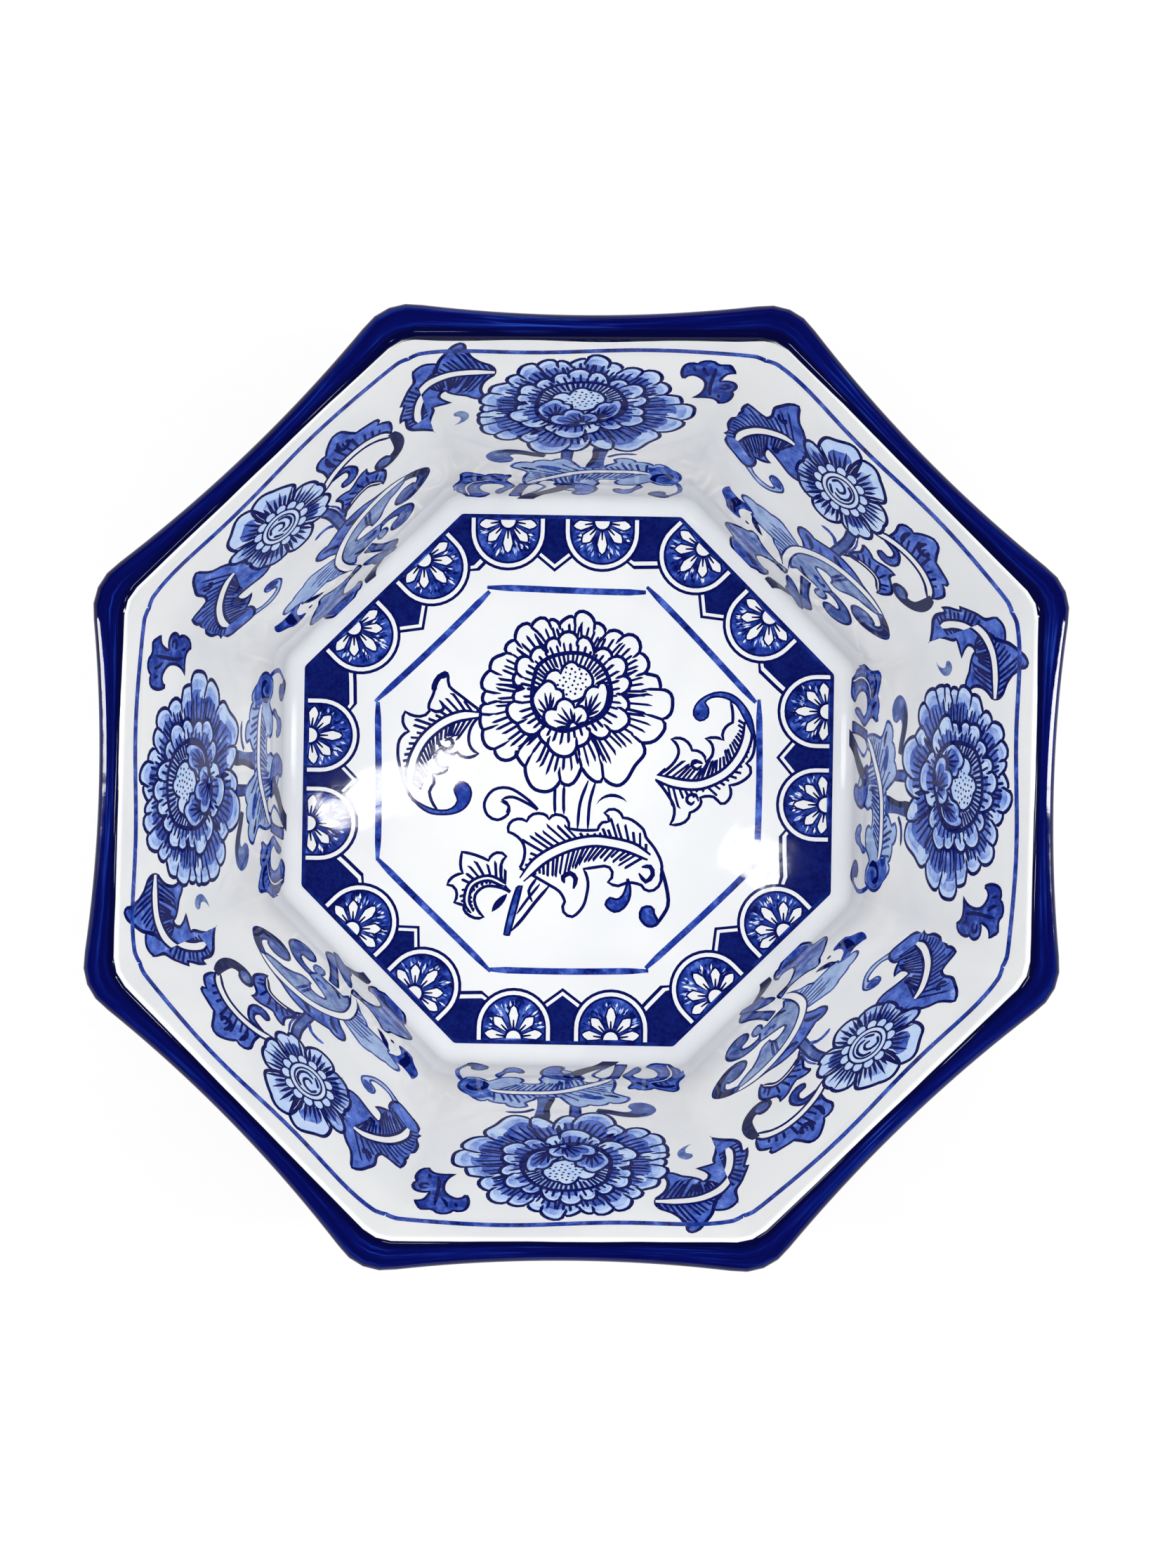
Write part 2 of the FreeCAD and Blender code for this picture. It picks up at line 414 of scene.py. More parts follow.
# Marks ---------------------------------------------------------------------------------------------
PALE, WASH, MID, DEEP = (0.2, 0.0, 0.0), (0.34, 0.0, 0.0), (0.56, 0.0, 0.0), (0.7, 0.0, 0.0)
MIST, SLATE, SOOT = (0.27, 0.22, 0.0), (0.5, 0.6, 0.0), (0.93, 0.85, 0.0)


def way(text):
    """Points from pairs of millimetres, across and up; ! marks a sharp turn"""
    points = []
    for pair in text.split(","):
        sharp = pair.endswith("!")
        points.append(tuple(float(n) for n in pair.strip("! ").split()) + ((1,) if sharp else ()))
    return points


def crossing(start, ahead, border):
    """How far a ray from start runs before it meets the border"""
    best = math.inf
    for a, b in zip(border, border[1:] + border[:1]):
        side = b - a
        turn = ahead.cross(side)
        if abs(turn) > 1e-9:
            along = (a - start).cross(side) / turn
            share = (a - start).cross(ahead) / turn
            if along > 0.2 and 0.0 <= share <= 1.0:
                best = min(best, along)
    return best


def rays(sheet, base, border, way_round, lean, reach, pace, width, limit=11.0, paint=INK, start=0.0, seed=1,
         hub=None):
    """Hatching from a base line towards a border, each mark tapering as the brush lifts; with a hub the
    marks run straight away from it, or to it"""
    jog = random.Random(seed)
    travelled = 0.0
    for a, b in zip(base, base[1:]):
        size = (b - a).length
        while travelled <= size and size > 1e-6:
            spot = a + (b - a) * (travelled / size)
            ahead = (b - a).normalized()
            out = Vector((-ahead.y, ahead.x)) * way_round
            aim = (out * math.cos(lean) + ahead * math.sin(lean)).normalized()
            if hub:
                away = (spot - hub).normalized()
                aim = ((away if away.dot(out) > 0 else -away) + out * lean).normalized()
            room = crossing(spot + aim * 0.3, aim, border)
            if room < 40:
                span = min(limit, room * reach) * jog.uniform(0.8, 1.12)
                bow = Vector((-aim.y, aim.x)) * span * jog.uniform(0.0, 0.07) * way_round
                if span > start + 1.0:
                    line = [spot + aim * start, spot + aim * (start + span * 0.4) + bow * 0.6,
                            spot + aim * (start + span * 0.8) + bow, spot + aim * span]
                    sheet.brush(line, width * jog.uniform(0.85, 1.15), paint, (1.0, 0.3))
            travelled += pace * jog.uniform(0.85, 1.15)
        travelled -= size


def shrunk(points, middle, share):
    """Points drawn in towards a middle"""
    return [middle + (p - middle) * share for p in points]


# The hatching of a leaf runs this much further than its room was first judged.
HATCH_REACH = 1.35


def leaf(sheet, outline, rib, paint, reach, pace, sides, edge, width, lean, rib_width, limit, seed):
    """A washed leaf with hatching on both sides of a white rib"""
    border = spline(outline, True, 2.0)
    sheet.area(border, paint)
    line = spline(rib, False, 2.0)
    for side in sides:
        rays(sheet, line, border, side, lean, min(0.92, reach * HATCH_REACH), pace, 0.85, limit * HATCH_REACH,
             edge, rib_width * 0.5, seed)
    sheet.drawn_round(border, width * 1.15, edge)
    sheet.brush(line, rib_width + 1.9, edge, (0.5, 0.6))
    sheet.brush(line, rib_width, BARE, (0.5, 0.5))


def shape(sheet, outline, paint, edge=INK, width=0.97):
    """A plain washed shape, with a line round it unless its edge is None"""
    border = spline(outline, True, 2.0)
    sheet.area(border, paint)
    if edge:
        sheet.drawn_round(border, width, edge)


def moved(points, scale, shift):
    """Points scaled and shifted, with their sharp turns kept"""
    return [(p[0] * scale[0] + shift[0], p[1] * scale[1] + shift[1]) + tuple(p[2:]) for p in points]


# Peony ---------------------------------------------------------------------------------------------
PEONY_OUTER = way(
    "-3.9 55.8!, -0.5 58.6, 1.6 58.2!, 4.7 60.6, 8.8 56.6!, 11.8 55.5, 12.8 52.6!, 16 54, 19.3 52!, 24 51.5, "
    "25 46.2!, 28.4 42.5, 26.5 38.6!, 30.5 38, 32 37, 32.8 33!, 36.5 31.5, 37.2 28, 36.4 24.2, 33.5 22.3!, "
    "34.5 19, 31 14.6, 26 14!, 27.4 10, 24 5.5, 21 0.3, 17.5 -1.7, 12.7 1.2!, 10 -0.5, 4.8 5!, 2 -1, "
    "-1 -1.7, -2.7 0!, -5 -3.2, -8.5 -4.3, -13 -2.5, -15.4 4.5!, -18.7 9, -17.8 10.5!, -22.5 6.7, "
    "-26.5 10.7!, -30 12.5, -30.7 17.5!, -31.8 20, -31.6 23.2!, -31.5 26, -29 27!, -31 28, -30 31.5!, "
    "-31.5 34.5, -28.5 39!, -27.5 43, -24.5 44.5, -22.7 45.3!, -22.8 48, -19.7 50!, -18.5 54.5, -15.5 56, "
    "-14 54.7!, -10.8 58, -7.8 56.8!, -6 57.5")
PEONY_MIDDLE = way(
    "-8.7 47!, -7.5 50.4, -4.2 50.5!, -0.5 53.3, 3 50.5!, 6.5 51, 8.7 45.4!, 12.5 47.5, 15.3 44.3!, 20 43, "
    "19 37.6!, 22 35, 18.5 31!, 21.5 28, 20.2 25!, 21.6 21, 18 17.8, 15 18!, 12 15, 7.6 17.5!, 7 14, 3 12!, "
    "-1.5 8.3, -7.5 12.5!, -10.7 16, -9.7 18.5!, -14 16, -18.5 20!, -22.3 24.5, -19.7 28!, -19.5 31.5, "
    "-16.5 32.5, -18.6 33.3!, -20.2 35.5, -19 38.3!, -18.8 42.5, -16.5 44.2, -14.2 43.5!, -12 47.4, -9 46.5!")
PEONY_CUP = way("-13.2 33.5, -12.5 37, -11.5 40.5, -8 43.5, -4 45, 1 45.7, 6 45, 11 42, 14 37, 15.2 31, "
                "14 26, 11 22.5, 4.5 19.5, -2 17.5, -9 20, -11.5 23, -13.2 27")
PEONY_PETALS = (
    way("-9 33!, -8 38, -5 39.5, -3.2 38.2!, -1.5 41.5, 1 42.5, 3.2 41!, 6.5 39.5, 8.5 36, 7.5 33!, 0 28"),
    way("-10 22.5!, -13 27.5, -12.5 31, -9.5 34.5, -7.5 35.5, -5.5 34.5, -4.7 32.7!, -2.3 31.5, -2.2 29, "
        "-4 24"),
    way("9 22.5!, 12.8 26, 14 32, 12.5 35.2, 10.2 33.4!, 8 33.7, 6 32, 5 29, 3 27, 3.5 23.5"),
    way("-2 18!, -7.5 19.5, -9 22.5, -8 25, -4.7 25.2!, -4 28, -1.5 29.2, 1 28, 2 26!, 4.7 26.5, 6.8 24, "
        "5.8 20.5"))


def petal_marks(sheet, outer, inner, middle, jog):
    """Marks that part the petals of a ring, from each notch inwards"""
    for p in outer:
        if len(p) > 2:
            notch = Vector(p[:2])
            room = crossing(notch, (middle - notch).normalized(), inner)
            if room < 30:
                ahead = (middle - notch).normalized()
                bow = Vector((-ahead.y, ahead.x)) * room * jog.uniform(-0.12, 0.12)
                sheet.brush([notch, notch + ahead * room * 0.3 + bow, notch + ahead * room * 0.55 + bow],
                            0.95, INK, (1.0, 0.3))


def peony(sheet, scale, shift, washes, seed):
    """The peony: two rings of lobed petals round an open cup with a dotted heart"""
    jog = random.Random(seed)
    at = functools.partial(moved, scale=scale, shift=shift)
    middle = Vector(at([(1.0, 30.0)])[0])
    outer, ring, cup = at(PEONY_OUTER), at(PEONY_MIDDLE), at(PEONY_CUP)
    lines = [spline(line, True, 1.8) for line in (outer, ring, cup)]
    for stage, reach in enumerate((0.58, 0.6)):
        whole, inner = lines[stage], lines[stage + 1]
        sheet.area(whole, washes[0] if washes else BARE)
        if washes:
            sheet.area(shrunk(whole, middle, 0.93), washes[1])
            sheet.area(shrunk(whole, middle, (0.84, 0.8)[stage]), washes[2])
            for _ in range(9 - 3 * stage):
                petal_light(sheet, whole, middle, jog, washes[0])
        petal_marks(sheet, (outer, ring)[stage], inner, middle, jog)
        base = inner + [inner[0]]
        rays(sheet, base, whole, outward(inner), 0.15, reach, 2.1, 0.85, 13.0, INK, 0.0, seed + stage, middle)
        sheet.drawn_round(whole, 1.15)
    sheet.area(lines[2], washes[1] if washes else BARE)
    rays(sheet, lines[2] + [lines[2][0]], shrunk(lines[2], middle, 0.2), -outward(lines[2]), 0.0, 0.5, 1.8,
         0.85, 5.5, INK, 0.0, seed + 5, middle)
    sheet.drawn_round(lines[2], 1.3)
    for i, petal in enumerate(PEONY_PETALS):
        line = spline(at(petal), True, 1.8)
        centre = sum(line, Vector((0, 0))) / len(line)
        sheet.area(line, washes[0 if i == 0 else 1] if washes else BARE)
        if washes and i:
            sheet.area(shrunk(line, centre + Vector((0, -2)), 0.7), washes[2])
        if i:
            foot = (Vector(at(petal)[0][:2]) + Vector(at(petal)[-1][:2])) / 2
            ends = [p for p in line[3:-3:3] if (p - foot).length > 4.5]
            for end in ends:
                near = foot + (end - foot) * jog.uniform(0.1, 0.2)
                sheet.brush([near, near + (end - near) * 0.45, near + (end - near) * jog.uniform(0.62, 0.76)],
                            0.85, INK, (1.0, 0.3))
        sheet.drawn_round(line, 1.0)
        if i == 0:
            heart(sheet, Vector(at([(1.0, 35.6)])[0]), 5.8 * scale[0], jog)


def outward(line):
    """Which side of a closed line faces out of it: 1 for its left"""
    return -1 if sum(a.cross(b) for a, b in zip(line, line[1:] + line[:1])) > 0 else 1


def petal_light(sheet, whole, middle, jog, paint):
    """A pale patch where the wash was left thin near a petal's edge"""
    spot = whole[jog.randrange(len(whole))]
    centre = middle + (spot - middle) * jog.uniform(0.8, 0.88)
    size = jog.uniform(1.8, 3.0)
    sheet.area([centre + Vector((math.cos(t), math.sin(t))) * size * (1 + 0.25 * math.sin(3 * t + size))
                for t in (2 * math.pi * k / 9 for k in range(9))], paint)


HEART_DOTS = 30
GOLDEN_TURN = 2.39996


def heart(sheet, centre, radius, jog):
    """The dots of an open flower, spread as seeds are"""
    for k in range(HEART_DOTS):
        reach = radius * math.sqrt((k + 0.5) / HEART_DOTS)
        turn = k * GOLDEN_TURN
        spot = centre + Vector((math.cos(turn) * reach, math.sin(turn) * reach * 0.92))
        size = jog.uniform(0.42, 0.55)
        sheet.area([spot + Vector((math.cos(t), math.sin(t))) * size
                    for t in (2 * math.pi * i / 5 for i in range(5))], INK)


# Stencil of the front, back, left and right walls --------------------------------------------------
WALL_WASHES = (PALE, WASH, MID)


def cardinal(sheet):
    """Leaves, stems and curls of the panels at the front, right, back and left"""
    shape(sheet, way("54 93!, 51 86, 49.2 84.5, 48.2 80, 49 76, 47.7 73.5!, 50 72, "
                     "52 66, 58 60!, 60 80"), MID)
    # Leaf at the upper left, half of it round the corner.
    shape(sheet, way("-46.5 115.5!, -50 115.6, -53.7 113.5, -56 110, -56.8 105, -56.2 102, -58 97, -60 89, "
                     "-62 76, -59.5 70, -57 66, -53.7 67, -49.5 71.4, -48.3 73!, -51.2 72.5, -50.3 77.7, "
                     "-49.5 82.7, -48.5 86.8, -48.7 89.3!, -46.2 90.6, -42.7 92.5!, -45 93.6, -46.6 96, "
                     "-45.8 98.9, -44 100!, -48 106"), MID)
    leaf(sheet, way("-29.5 114.5, -33.7 117.2, -36.6 120.2, -38.2 123.1, -38.4 126, -39.7 127.2, -42 125.6, "
                    "-43.5 123, -44.9 120.6, -46.2 118, -46.8 115.6, -47.5 111!, -50 106, -48.5 101, "
                    "-44.1 100!, -42.8 98.5, -40.3 97.5, -37.8 97, -36.2 96!, -33.2 95, -31 96!, -33 99.5, "
                    "-33 102.7, -32 106, -29.3 109.5!"),
         way("-28.8 111.3, -34.5 111.3, -39.5 110.7, -43.7 109.3, -47.8 106.4, -51.2 102.6, -54 98.6, "
             "-57 93.5, -59 89"), MID, 0.85, 1.8, (1, -1), INK, 0.9, 0.5, 2.1, 13.0, 11)
    shape(sheet, way("-41.6 85.2, -39.5 86.8, -37.2 85.4, -36.9 82, -39 78.5, -41.8 76.3!, -39.6 80, "
                     "-39.8 82.5, -41.6 83"), (0.42, 0.6, 0.0), None)
    shape(sheet, way("31.2 108.5!, 30.3 111.8, 30.7 115.2, 32.2 117, 35 116.7!, 37.2 118.3, 40.1 117.8!, "
                     "42.2 116, 45.1 116, 46.3 113.9, 47.3 111.4!, 44.7 111, 43.2 108.5, 43 106.7!, "
                     "45.5 106.8, 47.6 105.6, 48.4 103, 47.2 100.6!, 47.6 97.7, 46.3 94.3, 43.8 93.3!, "
                     "42.2 96, 39.2 97, 35.1 96.8!, 37.2 98.9, 38.4 102.2, "
                     "38.4 106, 36.7 108.9, 33.8 110.6"), DEEP)
    for line in ("41 114, 40.5 109, 40 103, 40.5 98", "37 115, 37.5 112.5, 39 110", "34 115, 34.5 112.5",
                 "43.5 104.5, 45.5 104.5, 46 102.8, 44.5 102, 43.2 103", "43 99, 43.5 96.5"):
        sheet.stroke(way(line), 1.1)
    # Stems.
    shape(sheet, way("-5.5 58!, -5.2 46!, -2.4 44.5!, -1.8 58!"), DEEP, INK, 0.8)
    shape(sheet, way("5 61!, 5.6 52, 4.6 44, 3.4 40!, 9.6 40!, 9.2 47, 9.8 54, 11.4 61!"), SLATE, None)
    sheet.stroke(way("5.4 60, 6 52, 4.8 45, 3.4 40.5"), 1.9, SOOT)
    shape(sheet, way("5 61!, 5.4 55.5!, 9.6 55.5!, 11.4 61!"), SOOT, None)
    comma = way("-11 52.6!, -15.3 54.9, -20.3 56.8, -25.3 57, -29.3 54.8, -31.2 50.6, -29.6 46.2, "
                "-26.2 44.2, -22.6 45.4, -21.6 48.6, -22.9 51.2, -21.3 52.6, -18.5 52.2, -15 50.8, "
                "-11.3 50.2!")
    shape(sheet, comma, SLATE, None)
    sheet.stroke(way("-11 51.4, -15.2 52.8, -19.5 54.6, -24.5 55.4, -28 53.6"), 2.8, SOOT, (0.9, 0.1))
    sheet.stroke(way("10.2 51, 13 53.2, 16.5 53.9, 20 53.4"), 1.5, (0.75, 0.5, 0.0), (0.9, 0.3))
    # Long leaf under the stems.
    leaf(sheet, way("-22.2 39.7!, -21.6 43, -19 45.2, -15.3 44.7!, -12.8 47.2, -8.7 46.8!, -4.5 49, -2 46.8, "
                    "-0.3 43.5, 1.3 40.2!, 4.7 40.2, 9.7 40.2!, 10.5 43, 13.4 45.6, 12.6 48.5, 15.1 49.9, "
                    "18.4 49, 20 46.4!, 23.8 45.6, 26.3 43!, 28.4 44.3, 30.5 42.2, 32.6 38.5, 34.7 36, "
                    "36.3 31.8, 36.3 26.8, 35.1 22.2, 33.8 19.3!, 30.1 19.7, 27.6 22.7, 26.3 24.3!, "
                    "23.8 21.8, 22.2 19.7, 18.8 18.7, 15.5 19.7, 14.2 22.7, 15.1 25.6!, 12.2 27.2, "
                    "8.4 26.8!, 7.6 24.3, 8.4 21, 7.2 16.8, 8 12.7, 7.2 7.7, 4.7 2.7, 2.2 1.4, 0.1 3.5, "
                    "0.5 7.2!, -3.7 11, -5.5 15, -7 19.3!, -8.7 24.3, -12.8 20!, -17 19.3, -17.8 25.2, "
                    "-17.4 30.2, -16.6 34.7, -18.7 37.2"),
         way("-16.6 19.7, -12 25.2, -7 29.7, -1.2 33.9, 4.7 36, 11.3 36.4, 18 36.2, 23 35.2, 25.5 33.9"),
         MIST, 0.62, 2.2, (1, -1), (0.72, 0.35, 0.0), 0.9, -0.4, 2.2, 9.0, 17)
    shape(sheet, way("27.6 42!, 30.5 41.5, 34 36.5, 35.8 30, 34.8 22.5, 31.5 20.5, 28.5 23.5, 26.5 27, "
                     "26.4 33!, 25 38"), MID, None)
    sheet.stroke(way("28 24, 27 29, 28.5 33, 31.5 33.6, 33 31, 32.6 28, 31 27"), 1.9)
    shape(sheet, way("30 31!, 32.5 30, 33.5 26, 31.5 24, 29.5 26"), DEEP, None)
    sheet.stroke(way("-14 40.5, -9 40, -5 38"), 2.8, DEEP)
    sheet.stroke(way("-19 40, -16.5 38.5, -13.5 37.5"), 1.6, INK)
    sheet.stroke(way("24.5 41, 26.5 38.5, 25.5 36.5"), 2.4, DEEP)
    shape(sheet, way("-7 19.3!, -3 21, 3 20, 7 16, 7.6 10, 6 5, 2.4 2, 0.6 4, 0.8 8!, 0 13, -3 13.5, "
                     "-4.2 16.6"),
          MID, INK, 0.8)
    sheet.stroke(way("-6 11, -2.4 13, -0.8 16, -2 18.6, -5 18, -5 15.6"), 2.2)
    for line in ("1.5 16, 5.5 15", "2 12.5, 6.5 11.5", "2 9, 6.5 8"):
        sheet.stroke(way(line), 0.9, DEEP)
    # Curls under the long leaf.
    sheet.stroke(way("35.6 23, 37.2 16, 37.4 9, 35.2 3.4, 33.4 0.4"), 1.5, DEEP, (0.8, 0.8))
    shape(sheet, way("33.4 -0.5!, 29.8 0.4, 27.3 3.5, 27.4 7.4, 30.1 9.5, 32.4 7.4, 32.4 4, 35.4 2.5!"), DEEP)
    shape(sheet, way("22.6 19.5!, 23.6 15.2, 21.4 11, 20 6, 17.6 4.6, 15.1 7.4, 14.2 11.8, 15.5 13.2, "
                     "17.2 11.6, 20.3 12.8, 21.7 16"), MID, (0.8, 0.2, 0.0))
    # Leaf at the lower left.
    leaf(sheet, way("-39.5 26.8, -39.5 31, -37.8 33.5, -34.5 32.2, -31.2 30.2!, -27.8 32.2, -24.5 30.6!, "
                    "-22.8 31.4!, -22.7 28.9, -24 25.2, -23.7 21.8, -21.2 16, -21.6 12.7, -23.2 9.3, "
                    "-25.7 2.7, -26.4 1!, -27.2 4.3, -26.2 9.3, -23.9 13.5, -24.8 16.8, -27 18.5, "
                    "-30.3 18.5, -32.8 16, -33.7 11, -32.4 5.2, -29.9 1, -33 -2!, -37.8 -1.5!, -40.7 5.2, "
                    "-41.2 11, -43.2 7.7, -44.3 5.6!, -44.1 10.2, -42 16.8, -39.9 21.8"),
         way("-37 -1, -38 7, -37.6 14, -35 20, -30 23"), MID, 0.5, 2.0, (1, -1), (0.85, 0.1, 0.0), 0.9,
         0.4, 0.5, 5.0, 23)
    sheet.stroke(way("-38.6 26, -36.5 28.5, -33.5 28.3, -32 25.8, -31 23.6"), 2.0)
    sheet.stroke(way("-28.8 30, -28 26.5, -26.5 24.5, -25 22.5"), 1.7)
    # Crossed stems at the foot of the wall.
    shape(sheet, way("-18.8 19!, -20.4 12, -22.6 -1!, -18.6 -1!, -17.6 10, -15.4 19!"), DEEP, INK, 0.7)
    sheet.stroke(way("-16 16, -13.5 19, -10.3 15.2, -12 9.3, -15.3 2.7, -17.5 -2"), 1.2, DEEP)
    shape(sheet, way("-5 17!, -10 9, -16 2, -20 -3!, -14 -3!, -9 2, -4 8, -1.8 13!"), SOOT, None)


# Stencil of the four walls between -----------------------------------------------------------------
ROSETTE_PETALS = (
    "-12 110!, -12.6 116, -12 120.2!, -14 121.8, -16.6 122.4, -19.5 120.6!, -22 118, -24.9 115.2, -25.3 111, "
    "-23.7 106.8!, -19 105",
    "-9.5 110!, -11 116, -12 120.2!, -9.5 121.8, -6.6 122, -3.2 119.7!, 0.1 117.2, 2.6 114.5, 3 112.5, "
    "1.7 110.6!, -3 107",
    "-1 106!, 1.7 109.6, 4.7 109.7, 8 106.8, 8.8 103!, 9.7 100.2, 9.2 97.2, 6.3 96!, 1 97",
    "0 97!, 6.3 96.2, 8.8 93.5, 8.7 90.6, 5.9 88!, 5.3 85.4, 1.3 85, -1.6 86.8!, -4 91",
    "-4.5 90!, -1.6 86.8, -2 83.5, -4.5 80.2, -7.8 79.3, -11.2 80, -13.2 83!, -12 89",
    "-12.5 90!, -13.2 83.4, -16.2 82.7, -19 83.5!, -21.2 85.6, -22.8 88.5!, -18 93",
    "-18 94!, -22.8 88, -24.9 91.8, -24.5 96!, -25 98.6, -22.8 100.4!, -18 100",
    "-18 101!, -22.8 99.6, -27.8 102.7, -28.7 106, -25.3 107.7!, -23.7 107.6, -19 105")


def ring(centre, size, count=28):
    """Points round a centre"""
    return [centre + Vector((math.cos(t) * size, math.sin(t) * size))
            for t in (2 * math.pi * k / count for k in range(count))]


# The petals are a little lower than they were laid out, and shifted up to match.
ROSETTE_TALL = 0.95
ROSETTE_SHIFT = 4.0
ROSETTE_RAYS = 44
ROSETTE_SCALLOPS = 13


def rosette(sheet):
    """Round flower: eight hatched petals, a ring of scallops and a curled heart inside a bare ring"""
    middle = Vector((-9.2, 98.4))
    for number, petal in enumerate(ROSETTE_PETALS):
        line = [Vector((p.x, ROSETTE_SHIFT + p.y * ROSETTE_TALL)) for p in spline(way(petal), True, 1.8)]
        sheet.area(line, PALE if number in (0, 1, 2, 3, 4) else WASH)
        centre = sum(line, Vector((0, 0))) / len(line)
        sheet.area(shrunk(line, centre * 0.7 + middle * 0.3, 0.56), WASH if number in (1, 2, 4) else MID)
        sheet.drawn_round(line, 1.15)
    for k in range(ROSETTE_RAYS):
        turn = 2 * math.pi * k / ROSETTE_RAYS
        aim = Vector((math.cos(turn), math.sin(turn)))
        reach = 10.6 + (7.0, 5.4, 8.0, 4.8)[k % 4]
        sheet.brush([middle + aim * 10.0, middle + aim * (10.0 + reach) / 2, middle + aim * reach], 1.05, INK,
                    (1.0, 0.15))
    sheet.area(ring(middle, 10.4), (0.86, 0.0, 0.0))
    for size, paint in ((2.35, INK), (1.75, PALE)):
        for k in range(ROSETTE_SCALLOPS):
            turn = 2 * math.pi * (k + 0.3) / ROSETTE_SCALLOPS
            sheet.area(ring(middle + Vector((math.cos(turn), math.sin(turn))) * 8.9, size, 10), paint)
    for size, paint in ((7.9, INK), (7.1, (0.16, 0.0, 0.0)), (5.9, INK), (5.1, PALE)):
        sheet.area(ring(middle, size), paint)
    for curl in ("-4.2 0.4, -3 3, 0 2.8, 1.5 0.7, 0.3 -1.2, -1.6 -0.6", "0.8 4.4, 3.4 2.8, 4 -0.8, 2 -3.2, "
                                                                        "-0.8 -3",
                 "-4 -1.4, -2.6 -3, -1 -4.4"):
        sheet.stroke([(middle.x + x, middle.y + y) for x, y in way(curl)], 1.0, INK, (0.8, 0.6))


